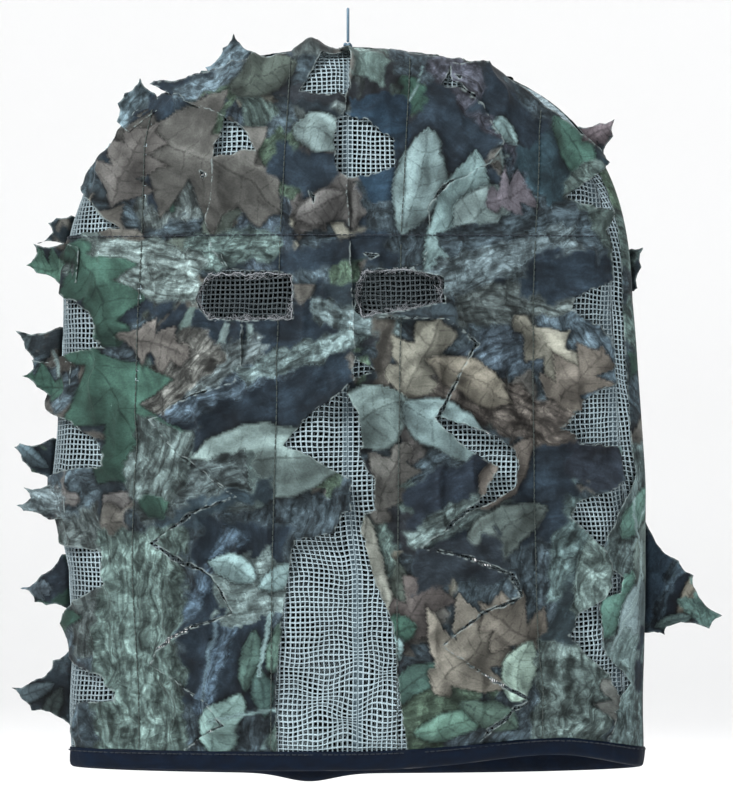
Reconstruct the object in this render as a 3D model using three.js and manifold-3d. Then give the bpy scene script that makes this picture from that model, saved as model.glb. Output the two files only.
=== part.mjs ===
// A camouflage leaf hood that hangs from a small cord loop: a bag of open netting, vertical strips of
// leaf-cut cloth sewn onto it, a folded tape round the neck, and leaf tips that stand free at its edges.
// Millimetres, +Z up. The face looks along -Y, and the origin is the top of the hanging loop.
import * as THREE from "three";
import { mergeVertices } from "three/addons/utils/BufferGeometryUtils.js";
import Module from "manifold-3d";

const wasm = await Module();
wasm.setup();

// ---- Driving dimensions ----
const LOOP_RISE = 24;            // top of the loop above the crown
const HOOD_HEIGHT = 385;         // crown above the front hem
const SHOULDER_HEIGHT = 251;     // where the dome starts, above the front hem
const SHOULDER_HALF_WIDTH = 152;
const HALF_DEPTH = 42;           // front to back, where the hood is fullest
const DOME_POWER = 2.4;          // superellipse power of the dome's outline seen from the front
const HEM_FADE = 60;             // the hem's waves die out over this height

// The skirt's profile as [height above the front hem, half width, half depth, lean]: low down, the hood
// hangs a little to the right of its middle.
const SKIRT_PROFILE = [[0, 153, 30, 5], [HEM_FADE, 154, 36, 5.5], [105, 155, 39, 5], [150, 158.5, HALF_DEPTH, 0]];

const BROW_HEIGHT = 284;         // the row of stitches that joins the upper strips to the lower ones
const WINDOW_TOP = 264;          // eye windows in the leaf cloth, with netting behind them
const TAPE_HEIGHT = 10;          // neck tape, folded round the edge of the netting
const LEAF_FLOOR = 11;           // the lower strips end just above the neck tape
const LEAF_CEILING = 383;        // the strips end just below the crown

const RIGHT_SEAM_ANGLE = 68;     // side seams, in degrees from the middle of the face
const LEFT_SEAM_ANGLE = -92;
const STRIP_LIMIT_ANGLE = 86;    // the front strips stop here where nothing else cuts them
const FULL_TURN = 360;
const NET_ANGLE_STEP = 9;
const DOME_ROW_ANGLES = [0, 12, 24, 36, 48, 60, 71, 80, 86];

// Each layer lies between two lifts, measured outwards from the middle of the netting.
const NET = [-0.6, 0.6];
const SEAM = [-2.2, -1.4];
const LEAF = [1.6, 2.4];
const THREAD = [3.0, 3.5];
const TAPE_INSIDE = 1.0;         // inner faces of the folded tape
const TAPE_OUTSIDE = 1.7;        // outer faces of the folded tape
const NET_EDGE = 1.4;            // lowest edge of the netting above the fold of the tape
const SLIT = 0.8;                // width of a closed cut between two strips
const PANEL_GAP = 0.2;           // from the middle of a seam to the netting on each side
const SEAM_HALF_WIDTH = 3;
const THREAD_HALF_WIDTH = 0.45;
const CROWN_HALF_WIDTH = 6;      // half width of the small opening that the loop's cord goes into
const LEAF_TIP_THICKNESS = 0.9;

// ---- Materials ----
const cloth = (color, roughness = 0.9) => new THREE.MeshStandardMaterial({ color, roughness, metalness: 0 });
const COLOURS = {
  net: 0x8fa3a6, seam: 0x7d8f92, pale: 0x8c9c8c, bark: 0x6f7a70, brown: 0x5f554e, dark: 0x2c3a46,
  green: 0x46705a, tan: 0x82786a, thread: 0x5c6360, tape: 0x071e30, cord: 0x9fb0b8,
};

const hood = new THREE.Group();

function addPart(name, geometry, colour) {
  const mesh = new THREE.Mesh(geometry, cloth(COLOURS[colour]));
  mesh.name = name;
  hood.add(mesh);
  return mesh;
}

// ---- The hood's surface ----
const toRadians = THREE.MathUtils.degToRad;
const CROWN_Z = -LOOP_RISE;
const HEM_Z = CROWN_Z - HOOD_HEIGHT;
const DOME_HEIGHT = HOOD_HEIGHT - SHOULDER_HEIGHT;

// Rows of the dome, from the shoulder to the small opening at the crown, as the skirt's profile is.
function domeRow(fraction) {
  const width = SHOULDER_HALF_WIDTH * (1 - fraction ** DOME_POWER) ** (1 / DOME_POWER);
  return [SHOULDER_HEIGHT + DOME_HEIGHT * fraction, width, HALF_DEPTH * Math.sqrt(1 - fraction ** 2), 0];
}
const crownFraction = (1 - (CROWN_HALF_WIDTH / SHOULDER_HALF_WIDTH) ** DOME_POWER) ** (1 / DOME_POWER);
const DOME_PROFILE = DOME_ROW_ANGLES.map((angle) => domeRow(Math.sin(toRadians(angle))));
const PROFILE = [...SKIRT_PROFILE, ...DOME_PROFILE, domeRow(crownFraction)];
const CROWN_ROW = PROFILE.at(-1)[0];

// Half width, half depth and lean at a height, straight between the profile's rows.
function sectionAt(height) {
  const next = PROFILE.findIndex((row) => row[0] >= height);
  const above = Math.max(1, next < 0 ? PROFILE.length - 1 : next);
  const [low, high] = [PROFILE[above - 1], PROFILE[above]];
  const share = (height - low[0]) / (high[0] - low[0]);
  return [1, 2, 3].map((column) => THREE.MathUtils.lerp(low[column], high[column], share));
}

// A smooth bump of height 1 round the hood, for the waves of the hem.
function bump(angle, centre, spread) {
  const away = THREE.MathUtils.euclideanModulo(angle - centre + FULL_TURN / 2, FULL_TURN) - FULL_TURN / 2;
  return Math.exp(-((away / spread) ** 2));
}

// The hem lifts at the front right, hangs lower at the back, and has one pinched fold there.
function hemRise(angle) {
  const backDrop = 7 * Math.max(0, -Math.cos(toRadians(angle)));
  return 8 * bump(angle, 42, 24) - backDrop - 4.5 * bump(angle, -170, 7);
}

// The point at an angle round the hood and a height above the hem, lifted off the netting's middle.
function hoodPoint(angle, height, lift) {
  const turn = toRadians(angle);
  const wave = hemRise(angle) * Math.max(0, 1 - height / HEM_FADE);
  const [halfWidth, halfDepth, lean] = sectionAt(height);
  const onDome = height > SHOULDER_HEIGHT;
  const fraction = onDome ? (height - SHOULDER_HEIGHT) / DOME_HEIGHT : 0;
  const widthLift = onDome ? (lift * halfWidth) / SHOULDER_HALF_WIDTH : lift;
  const depthLift = onDome ? (lift * halfDepth) / HALF_DEPTH : lift;
  return new THREE.Vector3(
    lean + (halfWidth + widthLift) * Math.sin(turn),
    -(halfDepth + depthLift) * Math.cos(turn),
    HEM_Z + height + wave + lift * fraction,
  );
}

// The angle of a point on the front half that lies x to the right of the middle.
function angleAt(x, height) {
  const limit = Math.sin(toRadians(STRIP_LIMIT_ANGLE));
  const [halfWidth, , lean] = sectionAt(height);
  const sine = THREE.MathUtils.clamp((x - lean) / halfWidth, -limit, limit);
  return THREE.MathUtils.radToDeg(Math.asin(sine));
}

// Every layer has these rows, so that the layers stay the same distance apart between them.
const HOOD_ROWS = PROFILE.slice(1, -1).map((row) => row[0]);

// ---- Closed solids on that surface ----
// A sheet of even thickness over a grid of [angle, height] points, its rows running upwards.
function sheetGeometry(grid, [innerLift, outerLift]) {
  const rows = grid.length;
  const columns = grid[0].length;
  const positions = [];
  for (const lift of [outerLift, innerLift]) {
    for (const [angle, height] of grid.flat()) positions.push(...hoodPoint(angle, height, lift).toArray());
  }
  const at = (row, column) => row * columns + column;
  const under = rows * columns;
  const index = [];
  for (let row = 0; row < rows - 1; row++) {
    for (let column = 0; column < columns - 1; column++) {
      const corners = [at(row, column), at(row, column + 1), at(row + 1, column + 1), at(row + 1, column)];
      const [a, b, c, d] = corners;
      index.push(a, b, c, a, c, d);
      index.push(a + under, c + under, b + under, a + under, d + under, c + under);
    }
  }
  const rim = [];
  for (let column = 0; column < columns - 1; column++) rim.push(at(0, column));
  for (let row = 0; row < rows - 1; row++) rim.push(at(row, columns - 1));
  for (let column = columns - 1; column > 0; column--) rim.push(at(rows - 1, column));
  for (let row = rows - 1; row > 0; row--) rim.push(at(row, 0));
  rim.forEach((from, i) => {
    const to = rim[(i + 1) % rim.length];
    index.push(to, from, from + under, to, from + under, to + under);
  });
  const geometry = new THREE.BufferGeometry();
  geometry.setAttribute("position", new THREE.Float32BufferAttribute(positions, 3));
  geometry.setIndex(index);
  return geometry;
}

// Angles from left to right, with the whole steps between them, so that neighbouring layers agree.
function steppedAngles(left, right, step) {
  const angles = [left];
  for (let angle = Math.ceil((left + 1) / step) * step; angle < right - 1; angle += step) angles.push(angle);
  angles.push(right);
  return angles;
}
const SEAM_ANGLES = [0, RIGHT_SEAM_ANGLE, FULL_TURN / 2, FULL_TURN + LEFT_SEAM_ANGLE, FULL_TURN];
const RING_ANGLES = SEAM_ANGLES.slice(1).flatMap((right, i) =>
  steppedAngles(SEAM_ANGLES[i], right, NET_ANGLE_STEP).slice(0, -1));

// How many degrees round the hood one millimetre of cloth covers at a place.
function degreesPerMm(angle, height) {
  return 2 / hoodPoint(angle + 1, height, 0).distanceTo(hoodPoint(angle - 1, height, 0));
}

// A band with the same section all the way round, given as [lift, height above the hem] points.
function ringGeometry(section) {
  const positions = [];
  const index = [];
  const turns = RING_ANGLES.length;
  const corners = section.length;
  RING_ANGLES.forEach((angle, turn) => {
    for (const [lift, height] of section) positions.push(...hoodPoint(angle, height, lift).toArray());
    const next = (turn + 1) % turns;
    for (let corner = 0; corner < corners; corner++) {
      const after = (corner + 1) % corners;
      const [a, b] = [turn * corners + corner, turn * corners + after];
      const [c, d] = [next * corners + after, next * corners + corner];
      index.push(a, c, b, a, d, c);
    }
  });
  const geometry = new THREE.BufferGeometry();
  geometry.setAttribute("position", new THREE.Float32BufferAttribute(positions, 3));
  geometry.setIndex(index);
  return geometry;
}

// ---- Netting: two panels in front, two behind ----
function addNetPanel(name, left, right) {
  const heights = [NET_EDGE, ...HOOD_ROWS, CROWN_ROW];
  const steps = steppedAngles(left, right, NET_ANGLE_STEP);
  const grid = heights.map((height) => {
    const inner = steps.slice(1, -1).map((angle) => [angle, height]);
    const first = [left + PANEL_GAP * degreesPerMm(left, height), height];
    return [first, ...inner, [right - PANEL_GAP * degreesPerMm(right, height), height]];
  });
  addPart(name, sheetGeometry(grid, NET), "net");
}
addNetPanel("net_front_left", LEFT_SEAM_ANGLE, 0);
addNetPanel("net_front_right", 0, RIGHT_SEAM_ANGLE);
addNetPanel("net_back_right", RIGHT_SEAM_ANGLE, FULL_TURN / 2);
addNetPanel("net_back_left", FULL_TURN / 2, FULL_TURN + LEFT_SEAM_ANGLE);

// A narrow band up the hood, of a given half width, centred on x(height) or on a fixed angle.
function bandGrid(heights, centreAngle, bandHalfWidth) {
  return heights.map((height) => {
    const centre = centreAngle(height);
    const half = bandHalfWidth * degreesPerMm(centre, height);
    return [[centre - half, height], [centre, height], [centre + half, height]];
  });
}

// Seam allowances lie inside the netting, over each join.
const SEAM_TOP = 380;
const seamRows = [TAPE_HEIGHT + 1, ...HOOD_ROWS.filter((height) => height < SEAM_TOP)];
for (const [name, angle] of [["centre_seam_front", 0], ["centre_seam_back", 180],
  ["side_seam_right", RIGHT_SEAM_ANGLE], ["side_seam_left", LEFT_SEAM_ANGLE]]) {
  addPart(name, sheetGeometry(bandGrid(seamRows, () => angle, SEAM_HALF_WIDTH), SEAM), "seam");
}

// ---- Leaf strips: each is cut out of one layer of leaf cloth by its outline, seen from the front ----
// A border between two strips runs up the hood as [height, x, opening]: the middle of the cut, and how
// far it gapes there. Points out at +-170 leave a strip to end at the edge of the cloth.
const UPPER_BORDERS = [
  [[284, -148, 0], [286, -142, 0], [288, -120, 0], [300, -132, 0], [311, -146, 0], [316, -170, 0]],
  [[284, -72, 0], [321, -68, 1], [323, -66, 3], [328, -58, 15], [338, -58, 8], [343, -62, 0],
    [351, -77, 0], [360, -95, 0], [361, -170, 0]],
  [[284, -1, 0], [313, -2, 0], [315, 3, 12], [320, 9, 24], [334, 9, 24], [343, 2, 11], [349, -3, 0],
    [355, -3, 0], [360, -12, 20], [370, -9, 16], [382, -5, 10]],
  [[284, 45, 0], [296, 42, 0], [309, 50, 1.5], [318, 72, 0], [327, 77, 0], [343, 72, 0], [357, 59, 0],
    [362, 51, 3], [373, 55, 0], [374, 68, 0], [380, 48, 0], [383, 30, 0]],
  [[284, 136, 0], [287, 133, 0], [294, 132, 0], [299, 124, 0], [304, 112, 0], [311, 120, 0],
    [316, 128, 0], [326, 121, 0], [343, 109, 0], [360, 91, 0], [372, 71, 0]],
];
const LOWER_BORDERS = [
  [[11, -146, 0], [24, -145, 0], [35, -143, 0], [36, -122, 0], [41, -121, 0], [51, -131, 0],
    [55, -144, 0], [62, -146, 0], [70, -170, 0], [82, -170, 0], [89, -143, 0], [95, -135, 0],
    [99, -124, 0], [110, -130, 0], [116, -131, 0], [120, -150, 0], [126, -170, 0], [156, -170, 0],
    [160, -146, 0], [162, -125, 0], [177, -132, 0], [186, -145, 0], [192, -170, 0], [218, -170, 0],
    [223, -144, 0], [225, -124, 0], [238, -130, 0], [251, -142, 0], [257, -170, 0], [284, -170, 0]],
  [[11, -85, 0], [17, -77, 1.5], [24, -63, 1.5], [36, -70, 0], [57, -101, 0], [65, -97, 1.5],
    [77, -78, 1.5], [84, -58, 1.5], [104, -69, 1.5], [121, -101, 2], [137, -80, 2], [146, -55, 0],
    [175, -93, 0], [187, -100, 0], [199, -79, 2], [207, -54, 0], [239, -53, 0], [240, -51, 44],
    [WINDOW_TOP, -51, 44], [265, -60, 0], [284, -72, 0]],
  [[11, -3, 54], [40, -5, 51], [78, -5, 46], [103, -9, 35], [123, -9, 28], [127, 0, 10], [137, 3, 8],
    [139, 8, 9], [155, 8, 9], [161, 0, 14], [169, -8, 22], [173, -13, 33], [190, -7, 19], [201, -2, 2],
    [208, 2, 0], [213, 9, 10], [219, 2, 0], [284, -1, 0]],
  [[11, 71, 0], [19, 73, 2], [35, 92, 2], [67, 50, 0], [84, 69, 2], [93, 89, 2], [105, 84, 1.5],
    [115, 58, 5], [119, 39, 0], [138, 62, 1.5], [148, 76, 7], [162, 83, 8], [170, 74, 20],
    [181, 59, 14], [188, 46, 2], [219, 63, 0], [227, 66, 1.5], [244, 48, 0], [245, 26.5, 43],
    [WINDOW_TOP, 26.5, 43], [265, 40, 0], [284, 45, 0]],
  [[11, 136, 0], [28, 135, 0], [35, 141, 0], [49, 132, 0], [62, 121, 0], [72, 113, 0], [82, 119, 0],
    [91, 131, 0], [105, 136, 0], [122, 126, 0], [135, 109, 0], [142, 115, 0], [150, 138, 0],
    [154, 142, 0], [172, 142, 0], [174, 117, 0], [182, 105, 0], [188, 112, 0], [202, 129, 0],
    [206, 137, 0], [224, 137, 0], [237, 129, 0], [245, 110, 0], [251, 113, 0], [259, 132, 0],
    [261, 137, 0], [284, 136, 0]],
];
// Behind, the borders wave in and out by a formula, so that netting shows between the lobes there too.
const BACK_BORDER_X = [170, 84, 0, -84, -170];
const BACK_SIDE_TOP = 340;       // the two outer strips of the back end here
const LOBE_PITCH = 76;           // height from one lobe to the next
const LOBE_REACH = 12;
const LOBE_OPENING = 14;
const backBorders = BACK_BORDER_X.map((x, i) => {
  const points = [];
  for (let height = -20; height < LEAF_CEILING; height += LOBE_PITCH / 6) {
    const phase = (2 * Math.PI * height) / LOBE_PITCH + i * 1.9;
    const free = Math.abs(x) < 150 && height < BACK_SIDE_TOP - 5;
    const opening = free ? LOBE_OPENING * Math.max(0, Math.cos(phase + 0.8)) : 0;
    points.push([height, free ? x + LOBE_REACH * Math.sin(phase) : x, opening]);
  }
  return points;
});

const STRIP_LETTERS = ["a", "b", "c", "d"];

// A border's points between two heights, moved to one side (-1 or 1) of its opening.
function borderSide(border, bottom, top, side) {
  const pointAt = (height) => {
    const above = Math.max(1, border.findIndex((point) => point[0] >= height));
    const [low, high] = border.at(-1)[0] < height ? border.slice(-2) : [border[above - 1], border[above]];
    const share = THREE.MathUtils.clamp((height - low[0]) / (high[0] - low[0]), 0, 1);
    return [height, THREE.MathUtils.lerp(low[1], high[1], share), THREE.MathUtils.lerp(low[2], high[2], share)];
  };
  const within = border.filter((point) => point[0] > bottom && point[0] < top);
  return [pointAt(bottom), ...within, pointAt(top)].map(([height, x, opening]) =>
    new THREE.Vector2(x + (side * Math.max(SLIT, opening)) / 2, height));
}

// A solid for boolean work, from a closed geometry.
function toSolid(geometry) {
  geometry.deleteAttribute("normal");
  geometry.deleteAttribute("uv");
  const merged = mergeVertices(geometry);
  const vertProperties = new Float32Array(merged.attributes.position.array);
  const triVerts = new Uint32Array(merged.index.array);
  return new wasm.Manifold(new wasm.Mesh({ numProp: 3, vertProperties, triVerts }));
}

function toGeometry(solid) {
  const { vertProperties, triVerts } = solid.getMesh();
  const geometry = new THREE.BufferGeometry();
  geometry.setAttribute("position", new THREE.Float32BufferAttribute(vertProperties, 3));
  geometry.setIndex(Array.from(triVerts));
  return geometry;
}

// The layer of leaf cloth between two angles, from just above the neck tape to just below the crown.
function leafLayer(left, right) {
  const heights = [LEAF_FLOOR, ...HOOD_ROWS, LEAF_CEILING];
  const steps = steppedAngles(left, right, NET_ANGLE_STEP);
  return toSolid(sheetGeometry(heights.map((height) => steps.map((angle) => [angle, height])), LEAF));
}

const CUTTER_DEPTH = 140;
function addStrip(name, layer, outline, colour) {
  const shape = new THREE.Shape(outline);
  const cutter = new THREE.ExtrudeGeometry(shape, { depth: CUTTER_DEPTH, bevelEnabled: false });
  cutter.rotateX(Math.PI / 2);
  cutter.translate(0, CUTTER_DEPTH / 2, HEM_Z);
  addPart(name, toGeometry(layer.intersect(toSolid(cutter))), colour);
}

function addStrips(level, layer, borders, bottom, tops, colours) {
  STRIP_LETTERS.forEach((letter, i) => {
    // Behind, the strips run from right to left, so a strip's two borders change sides.
    const [left, right] = borders[i][0][1] < borders[i + 1][0][1] ? [i, i + 1] : [i + 1, i];
    const rising = borderSide(borders[left], bottom, tops[i], 1);
    const falling = borderSide(borders[right], bottom, tops[i], -1).reverse();
    addStrip(`leaf_strip_${letter}_${level}`, layer, [...rising, ...falling], colours[i]);
  });
}
const BELOW_HEM = -20;
const faceLayer = leafLayer(-STRIP_LIMIT_ANGLE, STRIP_LIMIT_ANGLE);
const backLayer = leafLayer(RIGHT_SEAM_ANGLE + 3, FULL_TURN + LEFT_SEAM_ANGLE - 3);
addStrips("upper", faceLayer, UPPER_BORDERS, BROW_HEIGHT + SLIT / 2, [359, LEAF_CEILING, LEAF_CEILING, 372],
  ["brown", "bark", "pale", "dark"]);
addStrips("lower", faceLayer, LOWER_BORDERS, BELOW_HEM, Array(4).fill(BROW_HEIGHT - SLIT / 2),
  ["bark", "pale", "tan", "brown"]);
addStrips("back", backLayer, backBorders, BELOW_HEM,
  [BACK_SIDE_TOP, LEAF_CEILING, LEAF_CEILING, BACK_SIDE_TOP], ["dark", "brown", "bark", "dark"]);

// ---- Rows of stitches that hold the strips to the netting ----
// Each front row runs up the hood through [height, x] points.
const STITCH_ROWS = {
  a: [[LEAF_FLOOR, -110], [121, -112], [251, -110], [332, -107], [352, -103]],
  b: [[LEAF_FLOOR, -40], [111, -39], [284, -35], [380, -30]],
  c: [[LEAF_FLOOR, 26], [94, 26], [284, 28], [380, 33]],
  d: [[LEAF_FLOOR, 102], [143, 97], [251, 97], [338, 100], [352, 102]],
};
const BACK_STITCH_ANGLES = [129, 164, 196, 231];
const THREAD_GAP = 1.2;

function rowX(points, height) {
  const above = Math.max(1, points.findIndex((point) => point[0] >= height));
  const [low, high] = [points[above - 1], points[above]];
  return THREE.MathUtils.mapLinear(height, low[0], high[0], low[1], high[1]);
}

// A row that leans across the dome needs rows of its own between those of the hood.
const THREAD_ROWS = [0, 0.33, 0.67].flatMap((share) =>
  HOOD_ROWS.slice(1).map((height, i) => THREE.MathUtils.lerp(HOOD_ROWS[i], height, share)));
THREAD_ROWS.sort((a, b) => a - b);

function addStitches(name, bottom, top, centreAngle, rows) {
  const between = rows.filter((height) => height > bottom + 2 && height < top - 2);
  const grid = bandGrid([bottom, ...between, top], centreAngle, THREAD_HALF_WIDTH);
  addPart(name, sheetGeometry(grid, THREAD), "thread");
}
for (const [letter, points] of Object.entries(STITCH_ROWS)) {
  const centre = (height) => angleAt(rowX(points, height), height);
  const top = points.at(-1)[0];
  addStitches(`stitches_${letter}_upper`, BROW_HEIGHT + THREAD_GAP, top, centre, THREAD_ROWS);
  addStitches(`stitches_${letter}_lower`, LEAF_FLOOR + THREAD_GAP, BROW_HEIGHT - THREAD_GAP, centre, HOOD_ROWS);
}
BACK_STITCH_ANGLES.forEach((angle, i) => {
  addStitches(`stitches_${STRIP_LETTERS[i]}_back`, LEAF_FLOOR + THREAD_GAP, 335, () => angle, HOOD_ROWS);
});
const browAngles = steppedAngles(-82, 60, NET_ANGLE_STEP);
const browGrid = [-THREAD_HALF_WIDTH, THREAD_HALF_WIDTH].map((rise) =>
  browAngles.map((angle) => [angle, BROW_HEIGHT + rise]));
addPart("stitches_brow", sheetGeometry(browGrid, THREAD), "thread");

// ---- Neck tape, folded over the edge of the netting, and its own row of stitches ----
const TAPE_FOLD = 0.9;
addPart("neck_tape", ringGeometry([
  [TAPE_OUTSIDE, 0], [TAPE_OUTSIDE, TAPE_HEIGHT], [TAPE_INSIDE, TAPE_HEIGHT], [TAPE_INSIDE, TAPE_FOLD],
  [-TAPE_INSIDE, TAPE_FOLD], [-TAPE_INSIDE, TAPE_HEIGHT], [-TAPE_OUTSIDE, TAPE_HEIGHT], [-TAPE_OUTSIDE, 0],
]), "tape");
const TAPE_STITCH_HEIGHT = 8.4;
addPart("stitches_tape", ringGeometry([
  [2.1, TAPE_STITCH_HEIGHT], [2.5, TAPE_STITCH_HEIGHT], [2.5, TAPE_STITCH_HEIGHT + 0.5],
  [2.1, TAPE_STITCH_HEIGHT + 0.5],
]), "thread");

// ---- Hanging loop: a thin cord that leaves a knot on the crown, turns over and comes back ----
const CORD_RADIUS = 0.8;
const LOOP_ROUTE = [
  [-1.1, -18.4], [-1.5, -16], [-2.2, -13], [-2.9, -10], [-3.4, -7], [-3.5, -4.6], [-3.0, -2.6], [-1.7, -1.2],
  [0, -0.8],
  [1.7, -1.2], [3.0, -2.6], [3.5, -4.6], [3.4, -7], [2.9, -10], [2.2, -13], [1.5, -16], [1.1, -18.4],
];
const cordSection = new THREE.Shape();
for (let side = 0; side < 8; side++) {
  const turn = (side / 8) * 2 * Math.PI;
  const point = [CORD_RADIUS * Math.cos(turn), CORD_RADIUS * Math.sin(turn)];
  if (side === 0) cordSection.moveTo(...point);
  else cordSection.lineTo(...point);
}
cordSection.closePath();
const loopPath = new THREE.CatmullRomCurve3(LOOP_ROUTE.map(([y, z]) => new THREE.Vector3(0, y, z)));
addPart("hang_loop", new THREE.ExtrudeGeometry(cordSection, { steps: 24, extrudePath: loopPath }), "cord");

const KNOT_PROFILE = [[0, -23], [1.6, -22.8], [2.5, -21.8], [2.6, -20.4], [2.0, -18.9], [0, -18.75]];
const knot = new THREE.LatheGeometry(KNOT_PROFILE.map((point) => new THREE.Vector2(...point)), 14);
knot.rotateX(Math.PI / 2);       // the profile's height becomes +Z
addPart("loop_knot", knot, "cord");

// ---- Free leaf tips: flat pieces of leaf cloth that stand out from the edge of the hood ----
// Each outline is given as [x, height above the hem]; its first and last points end the root that it
// bends about, and y is the layer that it grows from: before or behind the side of the hood.
const LEAF_TIPS = [
  { name: "left_leaf_1", colour: "dark", y: 6, outline: [[-150, 297], [-158, 296], [-162.5, 293],
    [-160, 288], [-168.5, 282], [-153, 281]] },
  { name: "left_leaf_2", colour: "green", y: -6, outline: [[-153, 281.5], [-169, 281], [-167.5, 276],
    [-173, 269.5], [-167.5, 265.5], [-154.8, 259]] },
  { name: "left_leaf_3", colour: "dark", y: 6, outline: [[-156, 237], [-180, 234.5], [-175, 225],
    [-170, 216], [-157.5, 216]] },
  { name: "left_leaf_4", colour: "green", y: -6, outline: [[-157.2, 219.5], [-170, 218.5], [-169.5, 214],
    [-175, 210], [-167.5, 204], [-158.8, 196]] },
  { name: "left_leaf_5", colour: "dark", y: 6, outline: [[-159.8, 176.5], [-178, 173.5], [-181, 171.5],
    [-176.5, 164], [-171.5, 158], [-160.8, 153]] },
  { name: "left_leaf_6", colour: "bark", y: -6, outline: [[-160.8, 151.5], [-174.5, 150], [-171, 144.5],
    [-178, 140.5], [-174.5, 137.5], [-161.1, 132.5]] },
  { name: "left_leaf_7", colour: "dark", y: 6, outline: [[-155, 113.5], [-166, 102.5], [-177.5, 95],
    [-171.5, 92], [-170, 87.5], [-163.5, 86], [-151.5, 84]] },
  { name: "left_leaf_8", colour: "dark", y: 6, outline: [[-150.5, 62], [-160, 56], [-162, 50], [-169, 46],
    [-182.5, 41], [-177, 35], [-171.5, 29], [-156.5, 25], [-149.5, 19]] },
  { name: "crown_leaf_1", colour: "pale", y: -5, outline: [[-124.5, 347], [-124, 357], [-120, 362],
    [-114.5, 366], [-111.8, 370], [-108, 364.5], [-104, 362.5]] },
  { name: "crown_leaf_2", colour: "bark", y: -3, outline: [[-77, 376.5], [-69.5, 382], [-67.5, 387],
    [-61.5, 394], [-58, 389], [-51.5, 385]] },
  { name: "right_leaf_1", colour: "brown", y: 5, outline: [[125, 345], [136, 347], [144.5, 349.5],
    [143.5, 340], [138.2, 327.5]] },
  { name: "right_leaf_2", colour: "dark", y: 4, outline: [[153.4, 279], [159.5, 279.5], [158.5, 269],
    [156.6, 257.5], [154.8, 256]] },
  { name: "right_leaf_3", colour: "dark", y: 5, outline: [[161, 149], [163.5, 126], [179, 110],
    [187, 102], [187, 97], [203, 80], [196, 73], [172.5, 74.5], [171.5, 70], [162.9, 71]] },
];
for (const { name, colour, y, outline } of LEAF_TIPS) {
  const shape = new THREE.Shape(outline.map(([x, height]) => new THREE.Vector2(x, height)));
  const plate = new THREE.ExtrudeGeometry(shape, { depth: LEAF_TIP_THICKNESS, bevelEnabled: false });
  const tip = addPart(name, plate, colour);
  tip.rotation.x = Math.PI / 2;
  tip.position.set(0, y + LEAF_TIP_THICKNESS / 2, HEM_Z);
}

export default hood;
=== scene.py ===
"""Looks of the leaf camouflage hood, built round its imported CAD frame.

Sizes are millimetres until make_mesh() turns them into metres. A place on the hood is an angle round it
(0 faces -Y, positive to the right), a height above the front hem, and a lift off the netting's middle.
"""
import math

import bpy
import numpy as np
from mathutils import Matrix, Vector, geometry


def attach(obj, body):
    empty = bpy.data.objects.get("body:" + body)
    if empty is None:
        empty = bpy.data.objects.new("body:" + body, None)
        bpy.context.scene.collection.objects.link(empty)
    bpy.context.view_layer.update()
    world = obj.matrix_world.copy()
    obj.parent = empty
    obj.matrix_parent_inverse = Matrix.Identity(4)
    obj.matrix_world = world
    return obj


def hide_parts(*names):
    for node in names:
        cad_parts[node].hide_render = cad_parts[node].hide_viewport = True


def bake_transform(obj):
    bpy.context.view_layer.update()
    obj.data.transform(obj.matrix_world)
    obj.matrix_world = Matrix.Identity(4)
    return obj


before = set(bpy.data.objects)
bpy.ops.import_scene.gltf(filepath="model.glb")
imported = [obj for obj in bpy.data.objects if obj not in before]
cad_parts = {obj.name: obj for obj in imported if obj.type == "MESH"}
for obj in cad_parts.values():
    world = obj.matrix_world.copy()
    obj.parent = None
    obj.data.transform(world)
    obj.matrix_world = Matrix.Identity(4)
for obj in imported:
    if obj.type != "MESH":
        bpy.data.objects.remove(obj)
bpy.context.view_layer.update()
MM = 0.001

# ---- Driving dimensions, as in the CAD model ----
LOOP_RISE = 24
HOOD_HEIGHT = 385
SHOULDER_HEIGHT = 251
SHOULDER_HALF_WIDTH = 152
HALF_DEPTH = 42
DOME_POWER = 2.4
DOME_HEIGHT = HOOD_HEIGHT - SHOULDER_HEIGHT
HEM_FADE = 60
HEM_Z = -LOOP_RISE - HOOD_HEIGHT
# Height above the front hem, half width, half depth, and how far the hood leans to the right.
SKIRT_PROFILE = np.array([[-10, 153, 30, 5], [0, 153, 30, 5], [60, 154, 36, 5.5], [105, 155, 39, 5],
                          [150, 158.5, 42, 0], [251, 152, 42, 0]])
BROW_HEIGHT = 284
LEAF_FLOOR = 8                    # the strips run down inside the fold of the neck tape
LEAF_CEILING = 384.4
RIGHT_SEAM = 68
LEFT_SEAM = -92
CORD_DIAMETER = 1.6

# ---- Camera: level with the object, far enough away to flatten it ----
CAMERA_DISTANCE = 2.0
VIEW_HEIGHT = 0.4298              # how much height the picture takes in at the hood's middle
VIEW_CENTRE = (0.0100, -0.2108)   # x and z in the middle of the picture
SENSOR_WIDTH = 36


def add_object(name, data):
    made = bpy.data.objects.new(name, data)
    bpy.context.scene.collection.objects.link(made)
    return made


camera = add_object("camera", bpy.data.cameras.new("camera"))
camera.location = (VIEW_CENTRE[0], -CAMERA_DISTANCE, VIEW_CENTRE[1])
camera.rotation_euler = (math.pi / 2, 0, 0)
camera.data.sensor_width = SENSOR_WIDTH
camera.data.lens = SENSOR_WIDTH * CAMERA_DISTANCE / VIEW_HEIGHT
bpy.context.scene.camera = camera
bpy.context.scene.view_settings.view_transform = "Standard"


# ---- Small tools ----
def smooth_step(low, high, value):
    share = np.clip((value - low) / (high - low), 0, 1)
    return share * share * (3 - 2 * share)


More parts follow.
